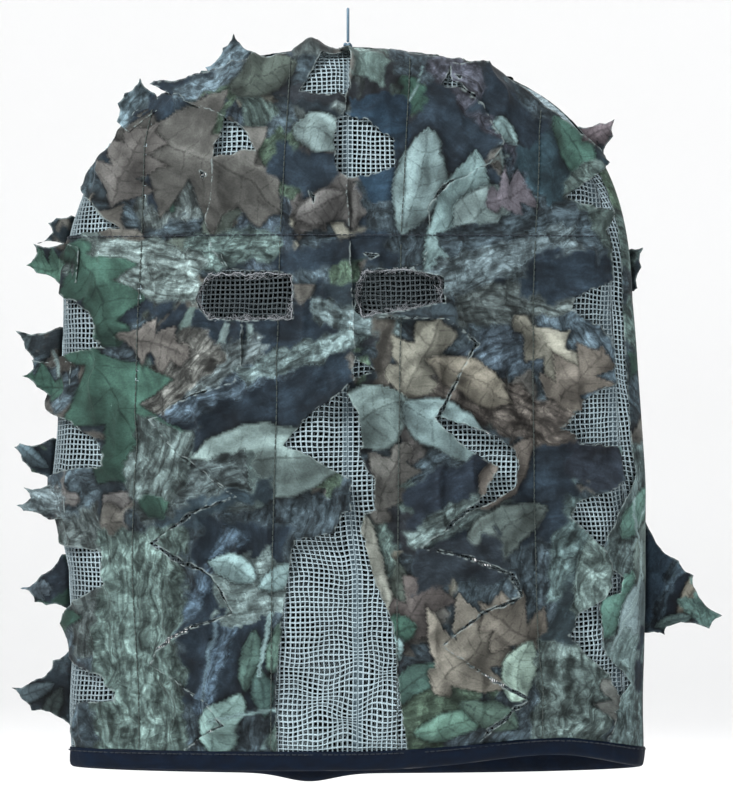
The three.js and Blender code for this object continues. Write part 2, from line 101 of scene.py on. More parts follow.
def noise(x, y, seed):
    """Smooth noise from 0 to 1 over the plane, one cell for each unit of x and y."""
    x, y = np.broadcast_arrays(np.asarray(x, float), np.asarray(y, float))
    column, row = np.floor(x).astype(np.int64), np.floor(y).astype(np.int64)
    across, up = x - column, y - row
    across, up = across * across * (3 - 2 * across), up * up * (3 - 2 * up)

    def corner(i, j):
        mixed = (i * 374761393 + j * 668265263 + seed * 144269504) & 0x7FFFFFFF
        mixed = ((mixed ^ (mixed >> 13)) * 1274126177) & 0x7FFFFFFF
        return ((mixed ^ (mixed >> 16)) & 0xFFFF) / 65535

    low = corner(column, row) * (1 - across) + corner(column + 1, row) * across
    high = corner(column, row + 1) * (1 - across) + corner(column + 1, row + 1) * across
    return low * (1 - up) + high * up


def layered_noise(x, y, seed, layers=3):
    """Noise with finer detail on top of it, still from 0 to 1."""
    total, weight = 0, 0
    for layer in range(layers):
        share = 0.55 ** layer
        total = total + share * noise(np.asarray(x) * 2 ** layer, np.asarray(y) * 2 ** layer, seed + 31 * layer)
        weight += share
    return total / weight


def make_mesh(name, points, faces, material):
    """A mesh object from points in millimetres and a list, or an array, of faces."""
    mesh = bpy.data.meshes.new(name)
    if isinstance(faces, np.ndarray):
        faces = faces.tolist()
    mesh.from_pydata((np.asarray(points) * MM).tolist(), [], faces)
    mesh.validate()
    mesh.shade_smooth()
    mesh.materials.append(material)
    piece = add_object(name, mesh)
    return piece


def set_attribute(piece, name, values):
    """Stores three numbers at each point of a mesh, for its material to read."""
    attribute = piece.data.attributes.new(name, "FLOAT_VECTOR", "POINT")
    attribute.data.foreach_set("vector", np.asarray(values, np.float32).ravel())


def thicken(points, triangles, thickness):
    """Closes a sheet of triangles into a thin solid. The second half of the points is its inner side."""
    normals = np.zeros_like(points)
    a, b, c = (points[triangles[:, i]] for i in range(3))
    face_normal = np.cross(b - a, c - a)
    for i in range(3):
        np.add.at(normals, triangles[:, i], face_normal)
    normals /= np.linalg.norm(normals, axis=1)[:, None] + 1e-12
    count = len(points)
    edges = np.concatenate([triangles[:, [0, 1]], triangles[:, [1, 2]], triangles[:, [2, 0]]])
    key = np.minimum(edges[:, 0], edges[:, 1]) * count + np.maximum(edges[:, 0], edges[:, 1])
    _, first, times = np.unique(key, return_index=True, return_counts=True)
    rim = edges[first[times == 1]]
    faces = triangles.tolist() + (triangles[:, ::-1] + count).tolist()
    faces += np.stack([rim[:, 1], rim[:, 0], rim[:, 0] + count, rim[:, 1] + count], axis=1).tolist()
    return np.concatenate([points, points - normals * thickness]), faces


# ---- The hood's surface ----
def half_size(height):
    """Half width and half depth of the hood at a height."""
    height = np.asarray(height, float)
    fraction = np.clip((height - SHOULDER_HEIGHT) / DOME_HEIGHT, 0, 0.99985)
    width = SHOULDER_HALF_WIDTH * (1 - fraction ** DOME_POWER) ** (1 / DOME_POWER)
    depth = HALF_DEPTH * np.sqrt(1 - fraction ** 2)
    skirt = height < SHOULDER_HEIGHT
    width = np.where(skirt, np.interp(height, SKIRT_PROFILE[:, 0], SKIRT_PROFILE[:, 1]), width)
    depth = np.where(skirt, np.interp(height, SKIRT_PROFILE[:, 0], SKIRT_PROFILE[:, 2]), depth)
    return width, depth


def lean_at(height):
    return np.interp(height, SKIRT_PROFILE[:, 0], SKIRT_PROFILE[:, 3])


def x_to_angle(x, height, lift=0.0):
    """The angle of a point on the face that lies x to the right of the middle."""
    share = (x - lean_at(height)) / (half_size(height)[0] + lift)
    return np.degrees(np.arcsin(np.clip(share, -1, 1)))


def bump(angle, centre, spread):
    away = (angle - centre + 180) % 360 - 180
    return np.exp(-((away / spread) ** 2))


def hem_rise(angle):
    """The hem lifts at the front right, hangs lower at the back, and has one pinched fold there."""
    back_drop = 7 * np.maximum(0, -np.cos(np.radians(angle)))
    return 8 * bump(angle, 42, 24) - back_drop - 4.5 * bump(angle, -170, 7)


# Soft folds of the whole bag as [angle, height, half length, half width, lean in degrees, rise].
FOLDS = [
    (-18, 214, 60, 9, 28, 2.4), (-34, 180, 50, 12, 20, -1.8), (12, 236, 46, 8, -12, 1.6),
    (30, 330, 52, 11, 38, 2.0), (-30, 345, 48, 10, -35, 1.8), (48, 150, 60, 10, 70, 1.8),
    (-52, 96, 64, 11, 82, 2.0), (8, 60, 42, 9, 84, -1.6), (38, 40, 34, 9, 60, 1.8),
    (160, 250, 70, 12, 30, 2.2), (205, 150, 80, 13, -40, 2.4), (232, 60, 50, 10, 80, 2.0),
    (140, 90, 60, 12, 60, -2.0), (180, 330, 50, 12, 10, 1.8),
]


def sag(angle, height):
    """How far the whole bag stands out or in from its plain shape: folds, and a slow unevenness."""
    angle, height = np.asarray(angle, float), np.asarray(height, float)
    round_hood = angle % 360
    total = 2.2 * (noise(np.cos(np.radians(angle)) * 2.3 + 7, np.sin(np.radians(angle)) * 2.3 + height / 60, 5) - 0.5)
    for centre, level, length, width, lean, rise in FOLDS:
        away = ((round_hood - centre + 180) % 360 - 180) * 1.7
        c, s = math.cos(math.radians(lean)), math.sin(math.radians(lean))
        along = (away * c + (height - level) * s) / length
        across = (-away * s + (height - level) * c) / width
        total = total + rise * np.exp(-along ** 2 * 1.6 - across ** 2)
    return total * smooth_step(386, 350, height) * smooth_step(0, 25, height)


def hood_point(angle, height, lift):
    """Points on the hood, one row of x, y, z for each angle, height and lift."""
    angle, height, lift = np.broadcast_arrays(
        np.asarray(angle, float), np.asarray(height, float), np.asarray(lift, float))
    lift = lift + sag(angle, height)
    turn = np.radians(angle)
    half_width, half_depth = half_size(height)
    fraction = np.clip((height - SHOULDER_HEIGHT) / DOME_HEIGHT, 0, 1)
    on_dome = height > SHOULDER_HEIGHT
    width_lift = np.where(on_dome, lift * half_width / SHOULDER_HALF_WIDTH, lift)
    depth_lift = np.where(on_dome, lift * half_depth / HALF_DEPTH, lift)
    wave = hem_rise(angle) * np.maximum(0, 1 - height / HEM_FADE)
    return np.stack([
        lean_at(height) + (half_width + width_lift) * np.sin(turn),
        -(half_depth + depth_lift) * np.cos(turn),
        HEM_Z + height + wave + lift * fraction], axis=-1)


# Length round the hood from the middle of the face, as a share of the half width.
SECTION_RATIO = 0.266             # half depth as a share of half width, for lengths round the hood
ARC_STEP = 0.25                   # degrees
ARC_ANGLES = np.linspace(-180, 180, 1441)


def arc_table():
    turn = np.radians(ARC_ANGLES)
    speed = np.sqrt(np.cos(turn) ** 2 + (SECTION_RATIO * np.sin(turn)) ** 2)
    lengths = np.concatenate([[0], np.cumsum((speed[1:] + speed[:-1]) / 2)]) * math.radians(ARC_STEP)
    return lengths - np.interp(0, ARC_ANGLES, lengths)


ARC_LENGTHS = arc_table()


def arc_of(angle, height):
    return np.interp(angle, ARC_ANGLES, ARC_LENGTHS) * half_size(height)[0]


def angle_of(arc, height):
    return np.interp(arc / half_size(height)[0], ARC_LENGTHS, ARC_ANGLES)


# ---- Stage: a pale bowl of floor and wall, and soft lights ----
FLOOR_Z = -0.75
BOWL_SIDES = 72
BOWL_PROFILE = [  # radius and height above the floor, in metres
    (1.5, 0), (3.2, 0), (5.0, 0), (6.0, 0.12), (6.7, 0.5), (7.1, 1.2), (7.2, 2.4), (7.2, 4.2)]
FLOOR_COLOUR = (0.96, 0.955, 0.95, 1)
SKY_COLOUR, SKY_STRENGTH = (0.96, 0.98, 1.0, 1), 0.75
LIGHT_AIM = (0, 0, -0.2)
LIGHTS = [  # name, place, size, power
    ("key", (-1.8, -1.8, 2.0), 0.7, 185), ("fill", (2.0, -2.2, 0.1), 2.2, 14), ("rear", (0.6, 2.4, 1.6), 2.4, 60),
]


def make_stage():
    turns = [2 * math.pi * i / BOWL_SIDES for i in range(BOWL_SIDES)]
    points = [(r * math.cos(turn), r * math.sin(turn), z + FLOOR_Z) for r, z in BOWL_PROFILE for turn in turns]
    faces = [tuple(range(BOWL_SIDES))]
    for low in range(0, (len(BOWL_PROFILE) - 1) * BOWL_SIDES, BOWL_SIDES):
        high = low + BOWL_SIDES
        for i in range(BOWL_SIDES):
            after = (i + 1) % BOWL_SIDES
            faces.append((low + i, high + i, high + after, low + after))
    mesh = bpy.data.meshes.new("floor")
    mesh.from_pydata(points, [], faces)
    mesh.shade_smooth()
    floor = add_object("floor", mesh)
    paint = bpy.data.materials.new("pale_floor")
    paint.use_nodes = True
    surface = paint.node_tree.nodes["Principled BSDF"]
    surface.inputs["Base Color"].default_value = FLOOR_COLOUR
    surface.inputs["Roughness"].default_value = 0.95
    floor.data.materials.append(paint)


def make_lights():
    for name, place, size, power in LIGHTS:
        data = bpy.data.lights.new(name, "AREA")
        data.size = size
        data.energy = power
        light = add_object(name, data)
        light.location = place
        light.rotation_euler = (Vector(LIGHT_AIM) - Vector(place)).to_track_quat("-Z", "Y").to_euler()
    world = bpy.data.worlds.new("studio")
    bpy.context.scene.world = world
    world.use_nodes = True
    sky = world.node_tree.nodes["Background"]
    sky.inputs["Color"].default_value = SKY_COLOUR
    sky.inputs["Strength"].default_value = SKY_STRENGTH


make_stage()
make_lights()


# ---- Materials ----
class Shader:
    """A short way to write node materials: each call adds a node and returns its output socket."""

    def __init__(self, name, roughness=0.85, sheen=0.0, specular=0.15):
        self.material = bpy.data.materials.new(name)
        self.material.use_nodes = True
        self.nodes = self.material.node_tree.nodes
        self.links = self.material.node_tree.links
        self.surface = self.nodes["Principled BSDF"]
        self.surface.inputs["Roughness"].default_value = roughness
        self.surface.inputs["Sheen Weight"].default_value = sheen
        self.surface.inputs["Specular IOR Level"].default_value = specular

    def put(self, socket, value):
        if isinstance(value, bpy.types.NodeSocket):
            self.links.new(value, socket)
        else:
            socket.default_value = value

    def node(self, kind, inputs, **settings):
        """Adds a node, with its settings and what goes into its inputs: numbers, or other nodes' outputs."""
        made = self.nodes.new(kind)
        for key, value in settings.items():
            setattr(made, key, value)
        for key, value in inputs.items():
            self.put(made.inputs[key], value)
        return made

    def attribute(self, name):
        return self.node("ShaderNodeAttribute", {}, attribute_name=name).outputs["Vector"]

    def axis(self, vector, axis):
        return self.node("ShaderNodeSeparateXYZ", {0: vector}).outputs[axis]

    def math(self, operation, a, b=0.0):
        return self.node("ShaderNodeMath", {0: a, 1: b}, operation=operation).outputs[0]

    def vector_math(self, operation, a, b):
        return self.node("ShaderNodeVectorMath", {0: a, 1: b}, operation=operation).outputs[0]

    def stretch(self, vector, scale):
        return self.vector_math("MULTIPLY", vector, scale)

    def noise(self, vector, detail=3.0, roughness=0.5, distortion=0.0):
        """Noise from 0 to 1, one cell for each unit of the vector."""
        return self.node("ShaderNodeTexNoise", {
            "Vector": vector, "Scale": 1.0, "Detail": detail, "Roughness": roughness,
            "Distortion": distortion}).outputs["Fac"]

    def warp(self, vector, scale, reach):
        """Moves places about by a noise, so that what is drawn there no longer runs straight."""
        moved = self.node("ShaderNodeTexNoise", {"Vector": vector, "Scale": scale, "Detail": 2.0}).outputs["Color"]
        around = self.vector_math("SUBTRACT", moved, (0.5, 0.5, 0.5))
        return self.vector_math("ADD", vector, self.stretch(around, (reach, reach, reach)))

    def cracks(self, vector):
        """The distance to the nearest border between cells."""
        return self.node("ShaderNodeTexVoronoi", {"Vector": vector, "Scale": 1.0},
                         feature="DISTANCE_TO_EDGE").outputs["Distance"]

    def span(self, value, low, high, out_low=0.0, out_high=1.0):
        """Runs smoothly from out_low to out_high as value goes from low to high."""
        return self.node("ShaderNodeMapRange", {
            "Value": value, "From Min": low, "From Max": high, "To Min": out_low, "To Max": out_high},
            interpolation_type="SMOOTHSTEP").outputs["Result"]

    def mix(self, share, a, b, blend="MIX"):
        return self.node("ShaderNodeMix", {0: share, 6: a, 7: b}, data_type="RGBA", blend_type=blend).outputs[2]

    def shade(self, colour, value):
        """Multiplies a colour by a number."""
        grey = self.node("ShaderNodeCombineXYZ", {0: value, 1: value, 2: value}).outputs[0]
        return self.mix(1.0, colour, grey, "MULTIPLY")

    def finish(self, colour, height, depth, strength, roughness):
        """Joins colour, relief (its depth in metres) and roughness to the surface, and returns the material."""
        self.put(self.surface.inputs["Base Color"], colour)
        self.put(self.surface.inputs["Roughness"], roughness)
        bump = self.node("ShaderNodeBump", {"Strength": strength, "Distance": depth, "Height": height})
        self.links.new(bump.outputs[0], self.surface.inputs["Normal"])
        return self.material


def linear(red, green, blue):
    """A colour from 0 to 255 on each channel, as the shaders need it."""
    def channel(value):
        share = value / 255
        return share / 12.92 if share <= 0.04045 else ((share + 0.055) / 1.055) ** 2.4
    return (channel(red), channel(green), channel(blue), 1.0)


def weave(shader, cloth, pitch):
    """A plain weave, over and under, from the cloth's own millimetres."""
    turns = 2 * math.pi / pitch
    across = shader.math("SINE", shader.math("MULTIPLY", shader.axis(cloth, 0), turns))
    along = shader.math("SINE", shader.math("MULTIPLY", shader.axis(cloth, 1), turns))
    return shader.math("MULTIPLY", across, along)


def printed_cloth():
    """Leaf cloth: a print of leaves and bark on a plain weave, with pale raw edges where it is cut.

    The mesh carries the print as numbers at its points. "tint" is the colour; "place" is where the point
    is within its leaf or bark, in millimetres along and across; "marks" is how far it is from that leaf's
    outline and from its nearest vein, and how much of it is bark; "cloth" is the place in the weave and
    the distance from the cut edge.
    """
    shader = Shader("leaf_cloth_print", roughness=0.88, sheen=0.03, specular=0.12)
    tint, place = shader.attribute("tint"), shader.attribute("place")
    marks, cloth = shader.attribute("marks"), shader.attribute("cloth")
    edge, vein, bark = (shader.axis(marks, i) for i in range(3))
    grain = shader.warp(place, 0.05, 6.0)
    plates = shader.cracks(shader.stretch(grain, (0.026, 0.17, 1.0)))
    flakes = shader.noise(shader.stretch(grain, (0.055, 0.32, 1.0)), 3.0, 0.55)
    bark_tone = shader.math("MULTIPLY", shader.span(plates, 0.0, 0.16, 0.62, 1.06),
                            shader.span(flakes, 0.34, 0.66, 0.48, 1.50))
    fine = shader.noise(shader.stretch(cloth, (0.9, 1.0, 0.0)), 3.0, 0.6)
    blotch = shader.noise(shader.stretch(cloth, (0.11, 0.10, 0.0)), 5.0, 0.62, 0.4)
    glints = shader.noise(shader.stretch(cloth, (0.20, 0.17, 0.3)), 4.0, 0.6, 0.5)
    bark_tone = shader.math("MULTIPLY", bark_tone, shader.span(blotch, 0.36, 0.66, 0.42, 1.40))
    bark_tone = shader.math("MULTIPLY", bark_tone, shader.span(glints, 0.50, 0.66, 0.90, 1.55))
    mottle = shader.noise(shader.stretch(place, (0.055, 0.09, 1.0)), 3.0, 0.5, 0.3)
    leaf_tone = shader.math("MULTIPLY", shader.span(mottle, 0.34, 0.68, 0.60, 1.40),
                            shader.span(blotch, 0.34, 0.68, 0.84, 1.14))
    tone = shader.node("ShaderNodeMix", {0: bark, 2: leaf_tone, 3: bark_tone}, data_type="FLOAT")
    value = shader.math("MULTIPLY", tone.outputs[0], shader.span(fine, 0.3, 0.7, 0.86, 1.14))
    value = shader.math("MULTIPLY", value, shader.span(vein, 0.1, 0.9, 0.50, 1.0))
    value = shader.math("MULTIPLY", value, shader.span(edge, 0.0, 2.0, 0.50, 1.0))
    colour = shader.shade(tint, value)
    threads = weave(shader, cloth, 0.62)
    # Painted light in the weave: paler where the threads rise and darker where they dip, as the bump is.
    colour = shader.shade(colour, shader.span(threads, -1, 1, 0.95, 1.05))
    worn = shader.noise(shader.stretch(cloth, (0.35, 0.35, 0.0)), 2.0)
    raw = shader.math("MULTIPLY", shader.span(shader.axis(cloth, 2), 0.1, 1.0, 0.60, 0.0),
                      shader.span(worn, 0.42, 0.58))
    colour = shader.mix(raw, colour, linear(118, 130, 130))
    slub = shader.noise(shader.stretch(cloth, (0.9, 0.12, 0.0)), 2.0)
    height = shader.math("ADD", threads, shader.math("MULTIPLY", slub, 1.2))
    rough = shader.span(mottle, 0.3, 0.7, 0.82, 0.94)
    return shader.finish(colour, height, 0.00006, 0.5, rough)


def plain_weave(name, dark, pale, pitch, roughness, sheen, specular=0.2):
    """A plain cloth or ribbon of one dye, with a weave, uneven tone, and painted light on the weave: paler on its
    high spots and darker where the threads dip.
    """
    shader = Shader(name, roughness, sheen, specular)
    cloth = shader.attribute("cloth")
    threads = weave(shader, cloth, pitch)
    cloudy = shader.noise(shader.stretch(cloth, (0.10, 0.16, 0.1)), 4.0, 0.6)
    colour = shader.mix(shader.span(cloudy, 0.32, 0.70), dark, pale)
    # Painted light in the weave: paler where the threads rise and darker where they dip, as the bump is.
    colour = shader.shade(colour, shader.span(threads, -1, 1, 0.86, 1.12))
    rough = shader.span(cloudy, 0.3, 0.7, roughness - 0.06, min(1.0, roughness + 0.08))
    return shader.finish(colour, threads, 0.00008, 0.7, rough)


def spun_thread(name, dark, pale, twist, roughness=0.7):
    """Thread or cord: its colour runs between two shades, paler on the crests of the plies and darker in their
    grooves as painted light, with fluffy fibres between, turning round it from its own length and turn.
    """
    shader = Shader(name, roughness, 0.1)
    cloth = shader.attribute("cloth")
    turning = shader.math("ADD", shader.math("MULTIPLY", shader.axis(cloth, 0), twist),
                          shader.math("MULTIPLY", shader.axis(cloth, 1), 3.0))
    plies = shader.math("SINE", turning)
    fluff = shader.noise(shader.stretch(cloth, (2.0, 0.8, 0.4)), 3.0)
    # Painted light: paler on the crests of the plies and darker in their grooves, as the bump is; the fluff is the
    # fibres' own variation.
    share = shader.math("ADD", shader.span(plies, -1, 1, 0.0, 0.6), shader.span(fluff, 0.3, 0.7, 0.0, 0.4))
    return shader.finish(shader.mix(share, dark, pale), plies, 0.00008, 0.6,
                         shader.span(fluff, 0.3, 0.7, roughness - 0.08, roughness + 0.1))


def knitted_net():
    """Netting thread: pale, slightly shiny filaments, greyer where it has been handled, and darker where its mesh
    carries a painted shade.
    """
    shader = Shader("net_thread", 0.62, 0.05)
    cloth = shader.attribute("cloth")
    filaments = shader.noise(shader.stretch(cloth, (2.4, 2.4, 1.0)), 3.0, 0.6)
    soil = shader.noise(shader.stretch(cloth, (0.03, 0.03, 1.0)), 3.0, 0.6)
    colour = shader.mix(shader.span(filaments, 0.3, 0.7), linear(112, 130, 138), linear(168, 186, 192))
    colour = shader.shade(colour, shader.span(soil, 0.35, 0.65, 0.78, 1.04))
    # Painted shade: the cloth attribute's third number darkens the thread, down to 0.15 of its colour.
    colour = shader.shade(colour, shader.span(shader.axis(cloth, 2), 0, 1, 1.0, 0.15))
    return shader.finish(colour, filaments, 0.00012, 0.6, shader.span(filaments, 0.3, 0.7, 0.54, 0.7))


CLOTH = printed_cloth()
NET = knitted_net()
TAPE = plain_weave("neck_tape_weave", linear(0, 7, 20), linear(2, 14, 30), 0.9, 0.55, 0.0, specular=0.08)
SEAM = plain_weave("seam_weave", linear(64, 80, 88), linear(92, 108, 116), 1.4, 0.85, 0.05)
THREAD = spun_thread("stitch_thread", linear(24, 32, 32), linear(62, 72, 68), 9.0)
FRAY = spun_thread("frayed_thread", linear(82, 86, 92), linear(146, 150, 154), 6.0, 0.85)
DARK_THREAD = spun_thread("dark_thread", linear(6, 12, 20), linear(24, 34, 44), 9.0)
CORD = spun_thread("loop_cord", linear(48, 68, 84), linear(118, 142, 158), 4.5)


# ---- The print: leaves, bark and shadow, laid over each other in this order ----
# kind, x, height above the hem, half length, half width, turn (degrees, up to the right), colour, bend
NAVY, SLATE, BROWN, RUST = (33, 46, 57), (62, 74, 80), (88, 80, 72), (96, 86, 80)
TAN, OLIVE, GREEN, BRIGHT = (132, 120, 100), (80, 86, 74), (50, 84, 68), (70, 112, 94)
PALE, TRUNK, TEAL, MOSS = (116, 130, 124), (96, 114, 104), (122, 146, 141), (82, 102, 78)
FACE_PRINT = [
    # ground
    ("bark", -120, 330, 70, 60, 60, SLATE, 0), ("bark", -60, 350, 60, 50, 10, SLATE, 0),
    ("bark", 60, 330, 90, 60, -40, SLATE, 0), ("bark", 0, 280, 180, 40, 0, SLATE, 0),
    ("bark", -90, 200, 90, 70, 30, SLATE, 0), ("bark", 90, 200, 90, 70, -30, SLATE, 0),
    ("bark", 110, 60, 90, 60, 80, SLATE, 0), ("bark", -60, 60, 90, 60, 85, SLATE, 0),
    # crown and brow
    ("shade", -100, 350, 40, 14, 50, NAVY, 0), ("bark", -50, 376, 34, 8, -14, SLATE, 0),
    ("bark", -66, 366, 30, 6, 24, (96, 112, 120), 0), ("leaf", -44, 366, 18, 11, 30, OLIVE, 2),
    ("oak", -78, 319, 50, 30, -28, BROWN, 6), ("oak", -112, 322, 26, 17, 64, (104, 92, 84), 3),
    ("shade", -22, 318, 20, 11, -20, NAVY, 0), ("leaf", -16, 334, 15, 11, -30, PALE, 3),
    ("leaf", -14, 297, 15, 8, 16, RUST, 1), ("patch", 9, 372, 8, 11, 76, TRUNK, 0),
    ("bark", -60, 277, 24, 10, 6, (94, 112, 104), 0), ("bark", -112, 268, 36, 16, -8, (128, 140, 132), 0),
    ("shade", 20, 330, 16, 40, 10, (30, 56, 74), 0), ("shade", 56, 340, 22, 34, -34, NAVY, 0),
    ("bark", 70, 352, 34, 9, -50, (88, 84, 96), 0), ("shade", 86, 344, 20, 12, -40, NAVY, 0),
    ("leaf", 34, 312, 28, 14, 76, (116, 134, 130), -3), ("leaf", 52, 296, 34, 12, 66, TEAL, -4),
    ("leaf", 70, 293, 20, 12, 44, PALE, 3), ("leaf", 82, 336, 8, 5, -56, TEAL, 0),
    ("oak", 86, 306, 18, 12, 20, (98, 84, 90), 0), ("shade", 116, 320, 20, 22, -60, (40, 64, 72), 0),
    ("leaf", 118, 327, 21, 10, -62, BRIGHT, 3), ("bark", 98, 282, 52, 15, 14, SLATE, 0),
    ("bark", 76, 268, 44, 10, 20, (98, 110, 112), 0), ("shade", 122, 262, 30, 12, -8, NAVY, 0),
    ("bark", 138, 292, 30, 12, -58, (90, 104, 96), 0), ("shade", -8, 274, 30, 9, 10, NAVY, 0),
    # left side, below the brow
    ("oak", -134, 254, 32, 18, -58, GREEN, 4), ("shade", -62, 226, 34, 16, -10, NAVY, 0),
    ("stem", -64, 228, 11, 2.2, 84, PALE, 1), ("stem", -52, 229, 11, 2.0, 80, PALE, -1),
    ("stem", -84, 236, 12, 2.4, 70, TRUNK, 1), ("bark", -56, 212, 42, 16, 34, (104, 112, 110), 0),
    ("bark", -88, 210, 26, 14, 50, (112, 104, 94), 0), ("shade", -22, 232, 22, 17, 20, NAVY, 0),
    ("shade", -50, 190, 58, 17, 26, NAVY, 0), ("bark", -66, 198, 40, 6, 28, (88, 106, 120), 0),
    ("bark", -22, 222, 36, 6, 24, (106, 122, 118), 0), ("bark", 4, 240, 26, 6, -14, (104, 118, 116), 0),
    ("leaf", -46, 158, 46, 20, 10, (112, 126, 118), 5), ("patch", -70, 150, 22, 12, 10, (96, 112, 106), 0),
    ("bark", -82, 148, 30, 14, 14, (86, 96, 94), 0),
    ("shade", -70, 140, 30, 5, 20, (48, 64, 72), 0), ("oak", -122, 188, 62, 25, -64, GREEN, 5),
    ("oak", -100, 226, 20, 12, -20, (110, 96, 86), 2), ("bark", -98, 164, 20, 16, 76, (98, 110, 104), 0),
    # left side, low
    ("shade", -60, 84, 48, 22, 82, NAVY, 0), ("bark", -76, 96, 40, 5, 60, (72, 92, 108), 0),
    ("bark", -66, 62, 34, 5, 74, (72, 92, 108), 0), ("bark", -108, 66, 62, 25, 90, TRUNK, 0),
    ("foliage", -46, 98, 24, 17, 12, PALE, 0), ("leaf", -58, 106, 14, 7, -24, TEAL, 2),
    ("leaf", -34, 104, 13, 6, 40, TEAL, 1), ("leaf", -62, 24, 19, 10, 66, (122, 150, 138), 3),
    ("leaf", -50, 60, 17, 5, 82, (70, 96, 84), 1), ("leaf", -37, 66, 14, 5, 76, (78, 104, 88), 1),
    ("leaf", -44, 42, 13, 5, 100, (62, 88, 80), 0), ("stem", -42, 68, 18, 1.0, 78, TEAL, 2),
    ("stem", -38, 30, 20, 1.2, 72, TEAL, -2), ("stem", -52, 30, 16, 1.0, 14, TEAL, 1),
    ("stem", -70, 58, 26, 0.9, 84, (98, 120, 130), 2), ("leaf", -34, 20, 12, 5, 60, (120, 146, 130), 1),
    # right side, below the brow
    ("bark", 128, 216, 34, 17, -66, (86, 102, 112), 0), ("oak", 38, 216, 25, 17, 70, TAN, 2),
    ("shade", 20, 218, 20, 3.5, 84, (84, 74, 64), 0), ("oak", 104, 220, 28, 13, -52, TAN, 3),
    ("oak", 120, 206, 24, 16, 60, (108, 92, 78), 2), ("bark", 84, 192, 38, 12, -26, (88, 74, 64), 0),
    ("leaf", 62, 208, 26, 9, -30, (124, 108, 88), 2), ("leaf", 16, 186, 20, 17, 30, (124, 140, 132), 4),
    ("leaf", 50, 180, 26, 15, -32, (112, 130, 126), 3), ("shade", 128, 164, 18, 14, -20, (40, 46, 56), 0),
    ("leaf", 148, 186, 18, 10, 80, (96, 122, 118), 2), ("oak", 22, 154, 24, 14, 70, BROWN, 3),
    ("shade", 58, 150, 30, 14, 24, (36, 46, 58), 0), ("bark", 62, 138, 34, 8, 30, (102, 116, 110), 0),
    ("shade", 102, 146, 16, 26, 10, NAVY, 0), ("leaf", 84, 158, 24, 10, 50, (104, 88, 76), 3),
    ("leaf", 80, 124, 28, 12, 40, (92, 100, 92), 3),
    # right side, low
    ("oak", 40, 88, 26, 15, 62, (88, 74, 68), 2), ("leaf", 15, 108, 28, 9, -76, (146, 138, 120), -5),
    ("shade", 58, 112, 24, 12, 10, (44, 52, 60), 0), ("foliage", 44, 30, 30, 20, 20, MOSS, 0),
    ("leaf", 28, 76, 10, 8, 10, GREEN, 1), ("leaf", 24, 68, 9, 5, -70, TEAL, 1),
    ("leaf", 34, 44, 20, 8, 36, (72, 106, 92), 2), ("leaf", 54, 24, 20, 8, 20, (84, 118, 98), -2),
    ("oak", 68, 62, 32, 25, 44, (130, 114, 96), 4), ("oak", 88, 80, 24, 14, 150, (118, 102, 86), 3),
    ("leaf", 92, 52, 19, 10, 72, (142, 160, 138), 2), ("leaf", 74, 26, 18, 8, -30, (76, 98, 82), 2),
    ("bark", 122, 116, 30, 16, 84, (92, 112, 108), 0), ("shade", 118, 88, 22, 9, 70, (48, 62, 66), 0),
    ("bark", 138, 84, 42, 20, 88, (124, 142, 132), 0), ("leaf", 146, 128, 24, 12, 70, (92, 146, 120), 2),
    ("bark", 118, 36, 32, 20, 84, (102, 116, 108), 0), ("oak", 146, 40, 26, 13, 76, (96, 92, 84), 2),
    # the free tips
    ("oak", -166, 207, 18, 11, 168, GREEN, 2), ("oak", -164, 270, 16, 10, 176, (78, 118, 96), 2),
    ("bark", -168, 142, 20, 9, 0, (118, 128, 128), 0), ("bark", -64, 384, 16, 9, 40, (116, 132, 140), 0),
    ("shade", -160, 290, 16, 6, -20, (40, 54, 60), 0), ("shade", -170, 228, 20, 7, 10, (40, 48, 52), 0),
    ("leaf", -176, 224, 12, 4, 60, (76, 88, 90), 1), ("shade", -170, 165, 20, 8, 0, (38, 52, 62), 0),
    ("leaf", -174, 168, 14, 4, -30, (74, 90, 96), 1), ("shade", -168, 98, 20, 9, 30, (44, 54, 64), 0),
    ("oak", -170, 94, 10, 6, 20, (86, 96, 104), 1), ("shade", -168, 40, 22, 13, -20, (36, 44, 50), 0),
    ("leaf", -172, 38, 14, 5, 20, (72, 84, 88), 1), ("leaf", -160, 30, 12, 4, 60, (60, 70, 66), 1),
    ("bark", -116, 360, 14, 8, 50, (96, 112, 118), 0), ("oak", 136, 340, 15, 9, 30, (104, 84, 86), 1),
    ("shade", 158, 268, 12, 4, 90, (52, 62, 70), 0), ("shade", 168, 112, 34, 9, 68, (40, 58, 72), 0),
    ("bark", 176, 92, 26, 6, 60, (58, 74, 84), 0), ("shade", 181, 92, 24, 3.5, 66, (24, 34, 44), 0),
    ("leaf", 188, 90, 20, 5, 62, (112, 98, 80), 1), ("foliage", 196, 82, 16, 9, -50, (92, 124, 112), 0),
    ("leaf", 176, 78, 12, 4, 10, (84, 104, 98), 1),
]


